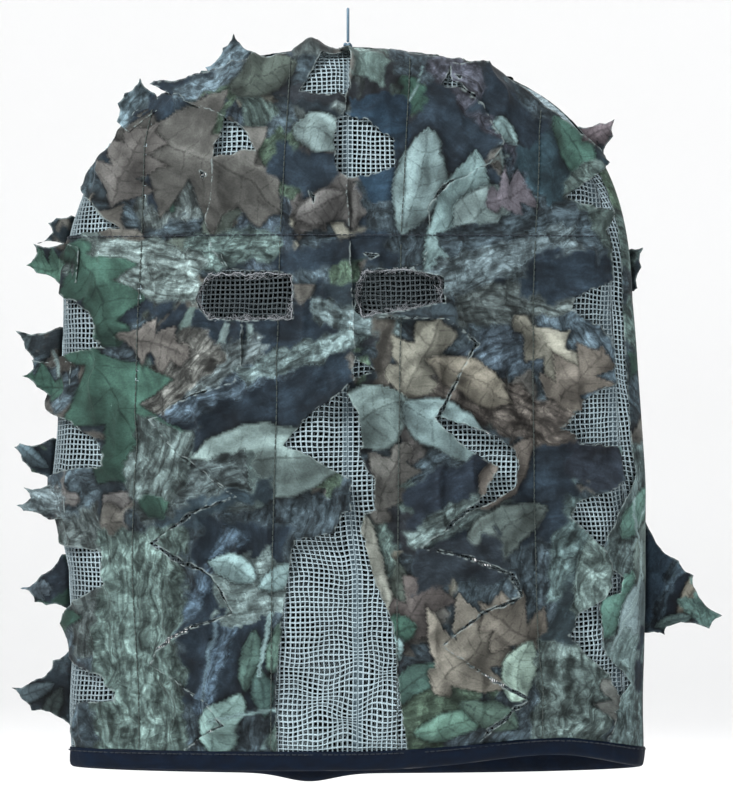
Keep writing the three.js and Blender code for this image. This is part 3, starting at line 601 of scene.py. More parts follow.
def scattered_print(seed, count, scale=1.0):
    """A print of the same kinds, where nothing says which leaf is where."""
    dice = np.random.default_rng(seed)
    kinds = ["bark", "shade", "oak", "leaf", "shade", "bark", "leaf", "foliage", "oak", "shade", "stem"]
    colours = {"bark": [SLATE, TRUNK, (84, 90, 86), (64, 76, 86)], "shade": [NAVY, (34, 44, 50), (40, 42, 46)],
               "oak": [BROWN, TAN, RUST, GREEN, (92, 82, 72)], "leaf": [PALE, OLIVE, GREEN, BROWN, SLATE],
               "foliage": [MOSS, SLATE], "stem": [PALE, TEAL, TAN]}
    sizes = {"bark": (42, 17), "shade": (32, 9), "oak": (33, 19), "leaf": (20, 9), "foliage": (28, 18),
             "stem": (24, 0.9)}
    motifs = [("bark", x, h, 90, 60, turn, SLATE, 0)
              for x, h, turn in [(-80, 80, 70), (80, 90, 95), (-70, 250, 30), (80, 260, -40), (0, 350, 5)]]
    for i in range(count):
        kind = kinds[i % len(kinds)]
        size = dice.uniform(0.7, 1.25) * scale
        motifs.append((kind, dice.uniform(-185, 190), dice.uniform(0, 388), sizes[kind][0] * size,
                       sizes[kind][1] * size, dice.uniform(-90, 90),
                       colours[kind][dice.integers(len(colours[kind]))], dice.uniform(-4, 4)))
    return motifs


BACK_PRINT = scattered_print(11, 290) + [  # and what comes round to the front on the right
    ("bark", -184, 90, 84, 22, 88, (92, 106, 102), 0), ("leaf", -184, 136, 19, 9, 46, (92, 132, 114), 1),
    ("leaf", -176, 112, 22, 11, 76, (104, 116, 106), 1), ("leaf", -195, 86, 19, 8, 66, (84, 126, 108), 1),
    ("leaf", -181, 80, 24, 11, 82, (112, 126, 124), 0), ("foliage", -187, 52, 24, 16, 60, (116, 134, 128), 0),
    ("shade", -175, 60, 18, 5, 80, NAVY, 0), ("stem", -182, 124, 24, 0.9, 106, (150, 168, 162), 2),
    ("stem", -186, 92, 30, 0.9, 70, (150, 168, 162), -3), ("stem", -178, 132, 20, 0.8, 56, (140, 158, 150), 2),
]
GROUND_COUNT = 6                  # the first rows of the face print cover the whole ground
FACE_PRINT = [*FACE_PRINT[:GROUND_COUNT], *scattered_print(4, 290, 0.8)[5:], *FACE_PRINT[GROUND_COUNT:]]
NO_VEIN = 9.0
PRINT_STRENGTH = 0.66             # how strongly the dyes differ from grey
PRINT_CAST = np.array([0.55, 0.65, 0.70])
INNER_SHADE_TONE = 0.16                 # painted shade: the cloth's inner side is darkened to this share of its print
BARK_SHARE = {"bark": 1.0, "shade": 0.35, "patch": 0.55, "foliage": 0.7}
SOFTNESS = {"bark": 1.8, "shade": 2.4, "patch": 1.6, "foliage": 1.2, "stem": 0.6, "leaf": 0.6, "oak": 0.6}


def motif_depth(kind, along, across, length, width, seed):
    """How far inside a motif's outline a point lies, and how far it is from the nearest vein."""
    share = np.clip(along / length, -1, 1)
    vein = np.full(along.shape, NO_VEIN)
    ragged = layered_noise(along / 7 + seed, across / 7, seed, 3) - 0.5
    if kind in ("leaf", "oak"):
        swept = along - 0.45 * np.abs(across)
        profile = width * np.maximum(0, 1 - np.abs(share) ** 2.2) ** 0.85
        if kind == "oak":
            lobes = np.abs((1.7 * swept / length + 0.37 * seed) % 1 * 2 - 1)
            profile = profile * (0.42 + 0.85 * lobes)
        depth = np.minimum(profile - np.abs(across), (length - np.abs(along)) * 1.2) + ragged * 1.6
        spacing = length / (4.2 if kind == "oak" else 3.4)
        side_vein = np.abs((swept * 1.0 + 0.5 * spacing) % spacing - 0.5 * spacing) * 0.8 + 0.22
        vein = np.minimum(np.abs(across), np.maximum(side_vein, 0.04 * np.abs(across)))
    elif kind == "stem":
        depth = np.minimum(width - np.abs(across), length - np.abs(along))
    elif kind == "foliage":
        reach = 1 - np.hypot(along / length, across / width)
        depth = reach * width + ragged * 16
        leaflets = np.sin(along * 0.9 + 2.4 * ragged * 6) * np.sin(across * 0.8 + along * 0.25)
        vein = 0.2 + 2.2 * np.abs(leaflets)
    else:
        depth = np.minimum(length - np.abs(along), width - np.abs(across)) + ragged * (14 if kind == "shade" else 10)
    return depth, vein


def paint(x, height, motifs):
    """The print at each point, as the three attributes that the cloth's material reads."""
    drift, rise = x, height
    for size, reach, seed in ((24, 7.0, 51), (7, 2.0, 53)):
        drift = drift + reach * (layered_noise(x / size, height / size, seed, 2) - 0.5)
        rise = rise + reach * (layered_noise(x / size, height / size, seed + 1, 2) - 0.5)
    x, height = drift, rise
    tint = np.tile(np.array(linear(*SLATE)[:3]), (len(x), 1))
    place = np.stack([x, height, np.zeros_like(x)], axis=1)
    marks = np.stack([np.full(len(x), 4.0), np.full(len(x), NO_VEIN), np.ones(len(x))], axis=1)
    for index, (kind, centre, level, length, width, turn, colour, bend) in enumerate(motifs):
        soft = SOFTNESS.get(kind, 1.0)
        c, s = math.cos(math.radians(turn)), math.sin(math.radians(turn))
        reach = length + 12
        near = np.flatnonzero((np.abs(x - centre) < reach) & (np.abs(height - level) < reach))
        away, up = x[near] - centre, height[near] - level
        along, across = away * c + up * s, -away * s + up * c
        across = across - bend * (1 - (along / length) ** 2)
        depth, vein = motif_depth(kind, along, across, length, width, index)
        edge = marks[near, 0]
        if kind in ("leaf", "oak"):
            marks[near, 0] = np.where(depth > 0, np.minimum(depth, 4),
                                      np.minimum(edge, np.maximum(-depth * 1.6, 0.3)))
        else:
            marks[near, 0] = np.where(depth > 0, 4.0, edge)
        patchy = 0.62 + 0.80 * layered_noise(along / 15, across / 10, index, 3)
        cover = smooth_step(-0.4 * soft, 0.8 * soft, depth)[:, None]
        if kind in ("leaf", "oak"):
            patchy = patchy * (1 + 0.26 * np.tanh(across / 2.5))
            shadow = 0.62 * smooth_step(-5.0, 0.5, depth) * (depth < 0.5)
            tint[near] *= 1 - shadow[:, None]
        elif kind == "bark":
            patchy = patchy * (1.12 - 0.5 * (across / width) ** 2)
        tint[near] += (np.array(linear(*colour)[:3]) * patchy[:, None] - tint[near]) * cover
        within = depth > 0
        hit = near[within]
        place[hit] = np.stack([along[within] + 40 * index, across[within], np.full(len(hit), index * 3.7)], axis=1)
        marks[hit, 1] = vein[within]
        marks[hit, 2] = BARK_SHARE.get(kind, 0.0)
    shade = 0.50 + 0.95 * layered_noise(x / 24 + 3, height / 24, 77, 4)
    shade = shade * (0.78 + 0.44 * layered_noise(x / 9 + 9, height / 10, 78, 2))
    grey = tint.mean(axis=1, keepdims=True)
    tint = (grey + (tint - grey) * PRINT_STRENGTH) * PRINT_CAST
    return tint * shade[:, None], place, marks


def paint_cloth(piece, x, height, arc, edge_distance, motifs, inner_shade_tone=1.0):
    """Prints a thickened cloth: its outer points come first, and its inner points follow, darkened by a painted
    shade.
    """
    tint, place, marks = paint(x, height, motifs)
    cloth = np.stack([arc, height, edge_distance], axis=1)
    set_attribute(piece, "tint", np.concatenate([tint, tint * inner_shade_tone]))
    for name, values in (("place", place), ("marks", marks), ("cloth", cloth)):
        set_attribute(piece, name, np.concatenate([values, values]))


# ---- Shapes cut out of cloth ----
def subdivide(loop, step):
    """A closed outline with points no more than a step apart, its corners kept."""
    loop = np.asarray(loop, float)
    parts = []
    for a, b in zip(loop, np.roll(loop, -1, axis=0)):
        count = max(1, math.ceil(math.hypot(*(b - a)) / step))
        parts.append(a + (b - a) * (np.arange(count) / count)[:, None])
    return np.concatenate(parts)


def fray(loop, reach, seed):
    """Pushes an outline in and out a little, as a cut edge of cloth is never straight."""
    side = np.roll(loop, -1, axis=0) - np.roll(loop, 1, axis=0)
    normal = np.stack([side[:, 1], -side[:, 0]], axis=1) / (np.linalg.norm(side, axis=1)[:, None] + 1e-9)
    push = layered_noise(loop[:, 0] / 3.1, loop[:, 1] / 3.1, seed, 2) - 0.5
    return loop + normal * (2 * reach * push)[:, None]


def inside(points, loop):
    """Which points lie inside a closed outline."""
    x, y = points[:, 0], points[:, 1]
    result = np.zeros(len(points), bool)
    for (ax, ay), (bx, by) in zip(loop, np.roll(loop, -1, axis=0)):
        if ay != by:
            crosses = (ay > y) != (by > y)
            result ^= crosses & (x < (bx - ax) * (y - ay) / (by - ay) + ax)
    return result


def distance_to(points, targets):
    """The distance from each point to the nearest target, a few thousand points at a time."""
    result = np.empty(len(points))
    for start in range(0, len(points), 2000):
        block = points[start:start + 2000]
        gaps = (block[:, None, 0] - targets[None, :, 0]) ** 2 + (block[:, None, 1] - targets[None, :, 1]) ** 2
        result[start:start + 2000] = np.sqrt(gaps.min(axis=1))
    return result


def cut_out(outline, holes, spacing, seed):
    """Fills an outline, less its holes, with even triangles. Returns points, triangles, edge distances."""
    low, high = outline.min(axis=0), outline.max(axis=0)
    rows = np.arange(low[1], high[1], spacing * 0.866)
    columns = np.arange(low[0], high[0], spacing)
    grid = np.stack(np.meshgrid(columns, rows), axis=-1)
    grid[1::2, :, 0] += spacing / 2
    grid = grid.reshape(-1, 2) + np.random.default_rng(seed).uniform(-0.12, 0.12, (grid.size // 2, 2)) * spacing
    grid = grid[inside(grid, outline)]
    loops = [outline, *holes]
    rim = np.concatenate(loops)
    for hole in holes:
        grid = grid[~inside(grid, hole)]
    grid = grid[distance_to(grid, rim) > 0.6 * spacing]
    edges = []
    start = 0
    for loop in loops:
        edges += [(start + i, start + (i + 1) % len(loop)) for i in range(len(loop))]
        start += len(loop)
    points = np.concatenate([rim, grid])
    found, _, triangles, *_ = geometry.delaunay_2d_cdt([Vector(p) for p in points], edges, [], 0, 1e-4)
    points, triangles = np.array([tuple(p) for p in found]), np.array(triangles)
    middle = points[triangles].mean(axis=1)
    kept = inside(middle, outline)
    for hole in holes:
        kept &= ~inside(middle, hole)
    triangles = triangles[kept]
    a, b, c = (points[triangles[:, i]] for i in range(3))
    turned = (b[:, 0] - a[:, 0]) * (c[:, 1] - a[:, 1]) - (b[:, 1] - a[:, 1]) * (c[:, 0] - a[:, 0])
    triangles = triangles[np.abs(turned) > 1e-5]
    turned = turned[np.abs(turned) > 1e-5]
    triangles[turned < 0] = triangles[turned < 0][:, ::-1]
    used, triangles = np.unique(triangles, return_inverse=True)
    points = points[used]
    return points, triangles.reshape(-1, 3), distance_to(points, rim)


WINDOWS = [(-76, -28.5, 240, 264), (4, 49, 242, 265)]  # eye windows as left, right, bottom, top
WINDOW_RIMS = [  # their outlines, going round to the left
    [(-72, 240), (-28.5, 240), (-28.5, 263.5), (-72, 263.5), (-76, 257), (-78.5, 251), (-76, 245)],
    [(8, 241), (28, 244.5), (49, 248.5), (49, 261), (33, 266), (9, 265), (5, 258), (4, 251)],
]


# ---- Netting: square mesh, each thread a flat lens in section ----
NET_PITCH = 2.6
NET_THREAD_SHARE = 0.145          # half a thread's width, as a share of the pitch
NET_HALF_THICKNESS = 0.42
NET_BOTTOM, NET_TOP = 1.4, 384.6
PANEL_GAP = 0.2
NET_PANELS = {                    # the middle that the threads run beside, then the panel's two edges from it
    "net_front_left": (0, LEFT_SEAM, 0), "net_front_right": (0, 0, RIGHT_SEAM),
    "net_back_right": (180, RIGHT_SEAM - 180, 0), "net_back_left": (180, 0, 180 + LEFT_SEAM),
}


def net_rows():
    """Heights of the threads that run across, evenly spaced along the curve from hem to crown."""
    fine = np.linspace(NET_BOTTOM, NET_TOP, 4000)
    depth = half_size(fine)[1]
    along = np.concatenate([[0], np.cumsum(np.hypot(np.diff(fine), np.diff(depth)))])
    return np.interp(np.arange(0, along[-1], NET_PITCH), along, fine)


def pucker(arc, height):
    """The loose netting low in front, where its cross threads no longer run straight."""
    loose = np.exp(-((arc + 3) / 34) ** 2) * smooth_step(78, 50, height) * smooth_step(8, 20, height)
    return loose * (2.1 * np.sin(arc / 8.5 + height / 7) + 1.3 * np.sin(arc / 4.1 - height / 5))


def make_net(name, middle, low_angle, high_angle):
    """A panel of netting: each crossing is a raised point, and each cell between four of them has a hole."""
    rows = net_rows()
    width = half_size(rows)[0]
    low = width * np.interp(low_angle, ARC_ANGLES, ARC_LENGTHS) + PANEL_GAP
    high = width * np.interp(high_angle, ARC_ANGLES, ARC_LENGTHS) - PANEL_GAP
    columns = np.arange(math.floor(low.min() / NET_PITCH), math.ceil(high.max() / NET_PITCH) + 1) * NET_PITCH
    height = np.repeat(rows[:, None], len(columns), axis=1)
    arc = np.clip(columns[None, :], low[:, None], high[:, None])
    facing = middle == 0
    free = smooth_step(0, 9, arc - low[:, None]) * smooth_step(0, 9, high[:, None] - arc)
    free = free * (smooth_step(4, 20, height) * smooth_step(384, 372, height))
    pulled = [(3.6 * (noise(arc / 30 + middle, height / 26, seed) - 0.5)
               + 1.1 * (noise(arc / 7, height / 6 + middle, seed + 1) - 0.5)) * free for seed in (21, 24)]
    height = height + pulled[0] + (pucker(arc, height) if facing else 0)
    arc = arc + pulled[1]
    width_here = np.diff(arc, axis=1)
    open_cell = np.minimum(width_here[:-1], width_here[1:]) > 0.25 * NET_PITCH

    def place(s, h, lift):
        return hood_point(middle + angle_of(s, np.clip(h, 0, NET_TOP)), h, lift).reshape(-1, 3)

    slack = 0.35 + 0.7 * (noise(arc / 16 + 5, height / 16, 29) - 0.5) * 2
    nodes = [place(arc, height, slack + NET_HALF_THICKNESS), place(arc, height, slack - NET_HALF_THICKNESS)]
    arcs, heights = [arc.ravel()] * 2, [height.ravel()] * 2
    for up in (NET_THREAD_SHARE, 1 - NET_THREAD_SHARE):
        for across in (NET_THREAD_SHARE, 1 - NET_THREAD_SHARE):
            def between(grid):
                lower = grid[:-1, :-1] * (1 - across) + grid[:-1, 1:] * across
                upper = grid[1:, :-1] * (1 - across) + grid[1:, 1:] * across
                return lower * (1 - up) + upper * up
            nodes.append(place(between(arc), between(height), between(slack)))
            arcs.append(between(arc).ravel())
            heights.append(between(height).ravel())

    node = np.arange(arc.size).reshape(arc.shape)
    cell = np.arange(open_cell.size).reshape(open_cell.shape)
    under, first_hole = arc.size, 2 * arc.size
    corner = [node[:-1, :-1], node[:-1, 1:], node[1:, 1:], node[1:, :-1]]
    hole = [first_hole + k * cell.size + cell for k in (0, 1, 3, 2)]
    padded = np.pad(open_cell, 1)
    beyond = [padded[:-2, 1:-1], padded[1:-1, 2:], padded[2:, 1:-1], padded[1:-1, :-2]]
    faces = []
    for k in range(4):
        n = (k + 1) % 4
        faces.append(np.stack([corner[k], corner[n], hole[n], hole[k]], axis=-1)[open_cell])
        faces.append(np.stack([corner[n] + under, corner[k] + under, hole[k], hole[n]], axis=-1)[open_cell])
        edge = open_cell & ~beyond[k]
        faces.append(np.stack([corner[n], corner[k], corner[k] + under, corner[n] + under], axis=-1)[edge])
    used, faces = np.unique(np.concatenate(faces), return_inverse=True)
    piece = make_mesh(name + "_cloth", np.concatenate(nodes)[used], faces.reshape(-1, 4), NET)
    arcs, heights = np.concatenate(arcs)[used], np.concatenate(heights)[used]
    # Painted shade on the netting: darker in the eye windows and towards the sides in front, and on the inner side of
    # the back panels.
    painted_shade = np.zeros(len(used))
    if facing:
        for left, right, bottom, top in WINDOWS:
            painted_shade += (smooth_step(left - 3, left + 1, arcs) * smooth_step(right + 3, right - 1, arcs)
                       * smooth_step(bottom - 3, bottom + 1, heights) * smooth_step(top + 3, top - 1, heights))
        painted_shade = 0.95 * painted_shade + 0.62 * smooth_step(0.66, 0.99, np.abs(arcs) / (half_size(heights)[0] * 1.1))
    else:
        painted_shade[(used >= under) & (used < first_hole)] = 0.9
    set_attribute(piece, "cloth", np.stack([arcs, heights, painted_shade], axis=1))
    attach(piece, "hood")
    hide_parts(name)
    return piece


nets = {name: make_net(name, *panel) for name, panel in NET_PANELS.items()}


# ---- Leaf strips: borders run up the hood as [height, x, opening], as in the CAD model ----
UPPER_BORDERS = [
    [[284, -148, 0], [286, -142, 0], [288, -120, 0], [300, -132, 0], [311, -146, 0], [316, -170, 0]],
    [[284, -72, 0], [321, -68, 1], [323, -66, 3], [328, -58, 15], [338, -58, 8], [343, -62, 0],
     [351, -77, 0], [360, -95, 0], [361, -170, 0]],
    [[284, -1, 0], [313, -2, 0], [315, 3, 12], [320, 9, 24], [334, 9, 24], [343, 2, 11], [349, -3, 0],
     [355, -3, 0], [360, -12, 20], [370, -9, 16], [377, -6.5, 10],
     [378.5, -5, 0]],
    [[284, 45, 0], [296, 42, 0], [309, 50, 1.5], [318, 72, 0], [327, 77, 0], [343, 72, 0], [357, 59, 0],
     [362, 51, 3], [373, 55, 0], [374, 68, 0], [380, 48, 0], [383, 30, 0]],
    [[284, 136, 0], [287, 133, 0], [294, 132, 0], [299, 124, 0], [304, 112, 0], [311, 120, 0],
     [316, 128, 0], [321, 132, 0], [326, 170, 0], [373, 170, 0]],
]
LOWER_BORDERS = [
    [[11, -146, 0], [24, -145, 0], [35, -143, 0], [36, -122, 0], [41, -121, 0], [51, -131, 0],
     [55, -144, 0], [62, -146, 0], [70, -170, 0], [82, -170, 0], [89, -143, 0], [95, -135, 0],
     [99, -124, 0], [110, -130, 0], [116, -131, 0], [120, -150, 0], [126, -170, 0], [156, -170, 0],
     [160, -146, 0], [162, -125, 0], [177, -132, 0], [186, -145, 0], [192, -170, 0], [218, -170, 0],
     [223, -144, 0], [225, -124, 0], [238, -130, 0], [251, -142, 0], [257, -170, 0], [284, -170, 0]],
    [[11, -85, 0], [17, -77, 1.5], [24, -63, 1.5], [36, -70, 0], [57, -101, 0], [65, -97, 1.5],
     [77, -78, 1.5], [84, -58, 1.5], [104, -69, 1.5], [121, -101, 2], [137, -80, 2], [146, -55, 0],
     [175, -93, 0], [187, -100, 0], [199, -79, 2], [207, -54, 0], [239, -53, 0], [240, -50.5, 34.6],
     [245, -52.2, 37.4], [251, -53.5, 39.4], [257, -52.2, 37.4], [263, -50.5, 34.4], [264.2, -51, 24],
     [266, -60, 0],
     [284, -72, 0]],
    [[11, -3, 54], [40, -5, 51], [78, -5, 46], [103, -9, 35], [123, -9, 28], [127, 0, 10], [137, 3, 8],
     [139, 8, 9], [155, 8, 9], [161, 0, 14], [169, -8, 22], [173, -13, 33], [190, -7, 19], [201, -2, 2],
     [208, 2, 0], [213, 9, 10], [219, 2, 0], [284, -1, 0]],
    [[11, 71, 0], [19, 73, 2], [35, 92, 2], [67, 50, 0], [84, 69, 2], [93, 89, 2], [105, 84, 1.5],
     [115, 58, 5], [119, 39, 0], [138, 62, 1.5], [148, 76, 7], [162, 83, 8], [170, 74, 20],
     [181, 59, 14], [188, 46, 2], [219, 63, 0], [227, 66, 1.5], [240, 50, 0], [241, 8, 1],
     [244.5, 16, 18.5], [248.5, 26.5, 35.4], [253, 26.2, 35.6], [261, 28, 33], [263.5, 24.5, 27], [265, 21, 19],
     [266.3, 30, 1], [268, 40, 0],
     [284, 45, 0]],
    [[11, 136, 0], [28, 135, 0], [35, 141, 0], [49, 132, 0], [62, 121, 0], [72, 113, 0], [82, 119, 0],
     [91, 131, 0], [105, 136, 0], [122, 126, 0], [135, 109, 0], [142, 115, 0], [150, 138, 0],
     [154, 142, 0], [172, 142, 0], [174, 117, 0], [182, 105, 0], [188, 112, 0], [202, 129, 0],
     [206, 137, 0], [224, 137, 0], [237, 129, 0], [245, 110, 0], [251, 113, 0], [259, 132, 0],
     [261, 137, 0], [284, 136, 0]],
]
BACK_BORDER_X = [170, 84, 0, -84, -170]
BACK_SIDE_TOP = 340
LOBE_PITCH, LOBE_REACH, LOBE_OPENING = 76, 12, 14
SLIT = 0.8
OVERLAP = 2.0                     # strips b and d lie over their neighbours by this much
STRIP_LETTERS = "abcd"
# Small cuts inside the strips, where the cloth has opened, as [x, height] corners.
NICKS = [
    [(38, 119), (49, 117.5), (44, 115)], [(58, 115), (65, 112), (63, 108.5)], [(48, 251), (68, 256), (58, 250.5)],
    [(39, 188.5), (46, 184), (42, 181)], [(-20, 306), (-17.6, 300), (-16.8, 304)], [(8, 275), (16, 273), (12, 271)],
    [(-76.5, 317), (-73, 315), (-75.5, 312.5)], [(55, 366), (58, 364), (56.6, 361)],
]
# Each strip is held by one row of stitches up its middle, as [height, x].
STITCH_ROWS = {
    "a": [[LEAF_FLOOR, -110], [121, -112], [251, -110], [332, -107], [352, -103]],
    "b": [[LEAF_FLOOR, -40], [111, -39], [284, -35], [380, -30]],
    "c": [[LEAF_FLOOR, 26], [94, 26], [284, 28], [380, 33]],
    "d": [[LEAF_FLOOR, 102], [143, 97], [251, 97], [338, 100], [352, 102]],
}
BACK_STITCH_ANGLES = {"a": 129, "b": 164, "c": 196, "d": 231}
STRIP_EDGE_ANGLE = 86
LEFT_BACK_EDGE = 80               # from the middle of the back, just inside the side seam
# On the right the back cloth comes round to the front, as [height, angle from the middle of the face].
SIDE_EDGE = np.array([[8, 61], [30, 60], [45, 68], [61, 57], [75, 55], [90, 54.5], [94, 62], [102, 63], [112, 54.5],
                      [125, 57], [144, 65], [160, 74], [318, 74], [324, 90]])
CLOTH_THICKNESS = 0.36
PRINT_TURN = 66                   # the angle from the middle of the face where the print leaves x
FRAY_REACH = 0.8                  # how far a cut edge strays
SEWN_LIFT = 1.75                  # of cloth off the netting's middle where it is sewn down
TAPE_LIFT = 1.15                  # and where it runs into the fold of the neck tape
LOWEST_LIFT, HIGHEST_BACK_LIFT = 1.3, 7.5
GATHER_PITCH = 5.4                # of the small gathers along a row of stitches


def back_borders():
    """Behind, the borders wave in and out by a formula."""
    borders = []
    for i, x in enumerate(BACK_BORDER_X):
        border = []
        heights = np.arange(-20, 383, LOBE_PITCH / 12)
        for height in np.union1d(heights, SIDE_EDGE[:, 0]) if i == 0 else heights:
            phase = 2 * math.pi * height / LOBE_PITCH + i * 1.9
            free = abs(x) < 150 and height < BACK_SIDE_TOP - 5
            opening = LOBE_OPENING * max(0, math.cos(phase + 0.8)) if free else 0
            if x == 0:
                opening = 0       # the two middle strips lie over each other behind
            border.append([height, x + (LOBE_REACH * math.sin(phase) if free else 0), opening])
        borders.append(border)
    return borders


def border_side(border, bottom, top, side, over):
    """One strip's edge, between two heights, as x and height; a strip that lies over another is wider."""
    border = np.array(border, float)
    heights = border[(border[:, 0] > bottom) & (border[:, 0] < top), 0]
    heights = np.concatenate([[bottom], heights, [top]])
    x = np.interp(heights, border[:, 0], border[:, 1])
    opening = np.interp(heights, border[:, 0], border[:, 2])
    if over:
        opening = np.where(opening < 1, -2 * OVERLAP, opening * 1.25 + SLIT)
    else:
        opening = np.maximum(SLIT, opening * 1.25 + SLIT)
    return np.stack([x + side * opening / 2, heights], axis=1)


def row_x(letter, height):
    row = np.array(STITCH_ROWS[letter], float)
    return np.interp(height, row[:, 0], row[:, 1])


def to_arc(outline, facing):
    """Turns x, seen from the front, into length round the hood from the middle of face or back."""
    x, height = outline[:, 0], outline[:, 1]
    angle = x_to_angle(x, height)
    if facing:
        angle = np.clip(angle, -STRIP_EDGE_ANGLE, STRIP_EDGE_ANGLE)
    else:
        side = np.where(x > 0, np.interp(height, *SIDE_EDGE.T) - 180, LEFT_BACK_EDGE)
        angle = np.where(np.abs(angle) >= 87, side, -angle)
    return np.stack([arc_of(angle, height), height], axis=1)


# Places where a cut edge stands up or droops the most, as [x, height, reach, rise].
LOBES = [
    (6, 370, 12, 4.0), (-20, 335, 14, 5.0), (-12, 300, 12, 3.0), (52, 350, 16, 4.5),
    (74, 325, 12, 4.0), (48, 300, 14, 3.0), (10, 186, 16, 6.5), (-8, 196, 14, 3.0), (14, 112, 12, 6.0),
    (10, 90, 12, 5.0), (20, 60, 12, 4.0), (-24, 105, 14, 4.0), (-78, 200, 14, 3.5), (-60, 140, 14, 4.0),
    (-84, 108, 14, 3.5), (-84, 62, 14, 3.0), (-66, 30, 12, 3.0), (62, 176, 14, 5.0), (80, 150, 14, 4.0),
    (60, 118, 14, 4.5), (86, 92, 12, 4.0), (84, 28, 14, 3.5), (112, 182, 12, 4.5), (108, 134, 12, 4.5),
    (112, 72, 12, 4.5), (128, 300, 12, 3.5), (110, 246, 12, 4.5), (-120, 162, 12, 4.0), (-124, 225, 12, 4.0),
    (-122, 100, 12, 4.0), (-120, 38, 12, 4.0), (-124, 290, 12, 3.5), (54, 236, 12, 3.0), (-60, 322, 12, 4.0),
]

def flap_lift(arc, x, height, from_stitch, edge_distance, over, facing, seed):
    """How far a strip stands off the netting: sewn flat at its stitches, loose and curled at its edges."""
    loose = smooth_step(1.5, 16, from_stitch)
    lift = 1.7 + 0.9 * over
    lift = lift + 0.050 * np.minimum(from_stitch, 45) * (0.25 + 1.1 * layered_noise(arc / 36, height / 36, seed, 2))
    curl = np.exp(-edge_distance / 3.6) * np.maximum(0, noise(arc / 13, height / 13, seed + 5) - 0.30)
    lift = lift + loose * curl * 4.6
    for centre, level, reach, rise in LOBES if facing else []:
        near = np.exp(-((x - centre) ** 2 + (height - level) ** 2) / reach ** 2)
        ripple = 1 + 0.35 * np.sin((x + 0.7 * height) / 2.6 + centre)
        lift = lift + 0.95 * rise * ripple * near * np.exp(-edge_distance / 6.5) * loose
    creases = 1 - 2 * np.abs(layered_noise(arc / 18, height / 34, seed + 9, 2) - 0.5)
    wrinkle = layered_noise(arc / 10, height / 13, seed + 10, 2) - 0.5
    lift = lift + wrinkle * (0.8 + 2.2 * loose) + 4.2 * (creases ** 3 - 0.42) * loose
    lift = LOWEST_LIFT + 0.25 * np.logaddexp(0, 4 * (lift - LOWEST_LIFT))
    lift = 2.4 + (lift - 2.4) * smooth_step(384, 376, height)
    lift = lift + 6.0 * np.exp(-((x + 19) / 7) ** 2) * smooth_step(368, 384, height) * facing
    gathers = 0.30 * np.sin(2 * math.pi * height / GATHER_PITCH + 3 * noise(arc / 20, height / 20, seed))
    lift = lift + gathers * np.exp(-(from_stitch / 4.5) ** 2) - 0.45 * np.exp(-(from_stitch / 1.6) ** 2)
    sewn = smooth_step(0.5, 9, np.abs(height - BROW_HEIGHT))
    lift = SEWN_LIFT + 0.5 * over + (lift - SEWN_LIFT - 0.5 * over) * sewn
    return TAPE_LIFT + (lift - TAPE_LIFT) * smooth_step(10.5, 20, height)


def make_strip(name, outline, letter, facing, spacing, seed):
    """One strip of leaf cloth: cut flat, laid round the hood, curled and creased, and printed."""
    over = 1 if letter in "bd" else 0
    flat = to_arc(outline, facing)
    loop = fray(subdivide(flat, spacing * 0.95), FRAY_REACH, seed)
    holes = []
    for nick in NICKS if facing else []:
        hole = subdivide(to_arc(np.array(nick, float), True), 1.2)
        if inside(hole[:1], loop)[0] and distance_to(hole, loop).min() > 1.5:
            holes.append(hole)
    points, triangles, edge_distance = cut_out(loop, holes, spacing, seed)
    arc, height = points[:, 0], points[:, 1]
    angle = angle_of(arc, height)
    if facing:
        x = lean_at(height) + half_size(height)[0] * np.sin(np.radians(angle))
        from_stitch = np.abs(x - row_x(letter, height))
    else:
        angle = angle + 180
        x = half_size(height)[0] * np.sin(np.radians(angle))
        from_stitch = np.abs(arc - arc_of(BACK_STITCH_ANGLES[letter] - 180, height))
    lift = flap_lift(arc, x, height, from_stitch, edge_distance, over, facing, seed)
    if not facing:
        behind = np.abs(angle - 180)
        lift = np.minimum(1.4 + (lift - 1.4) * smooth_step(84, 62, behind), HIGHEST_BACK_LIFT)
        loose = smooth_step(100, 110, behind) * smooth_step(10.5, 20, height) * smooth_step(172, 155, height)
        lift = lift + loose * (0.6 + 3.0 * layered_noise(arc / 9, height / 15, seed + 3, 2)
                               + 1.4 * np.exp(-edge_distance / 4))
    surface = hood_point(angle, height, lift)
    solid, faces = thicken(surface, triangles, CLOTH_THICKNESS)
    piece = make_mesh(name + "_cloth", solid, faces, CLOTH)
    # The print follows x in front, to lie where the photo has it, and the cloth's own length elsewhere.
    bend = np.sign(angle) * PRINT_TURN
    beyond = arc - arc_of(bend, height) + lean_at(height) + half_size(height)[0] * np.sin(np.radians(bend))
    printed_x = np.where(np.abs(angle) > PRINT_TURN, beyond, x) if facing else arc
    # Painted shade on the strips' inner side, fading out at the crown's edge.
    inner_shade_tone = INNER_SHADE_TONE + (1 - INNER_SHADE_TONE) * smooth_step(368, 380, height)
    if facing:                        # sewn down along the brow, where no raw edge shows
        edge_distance = edge_distance + 4 * (np.abs(height - BROW_HEIGHT) < 3)
    paint_cloth(piece, printed_x, height, arc, edge_distance, FACE_PRINT if facing else BACK_PRINT,
                inner_shade_tone[:, None])
    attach(piece, "hood")
    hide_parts(name)


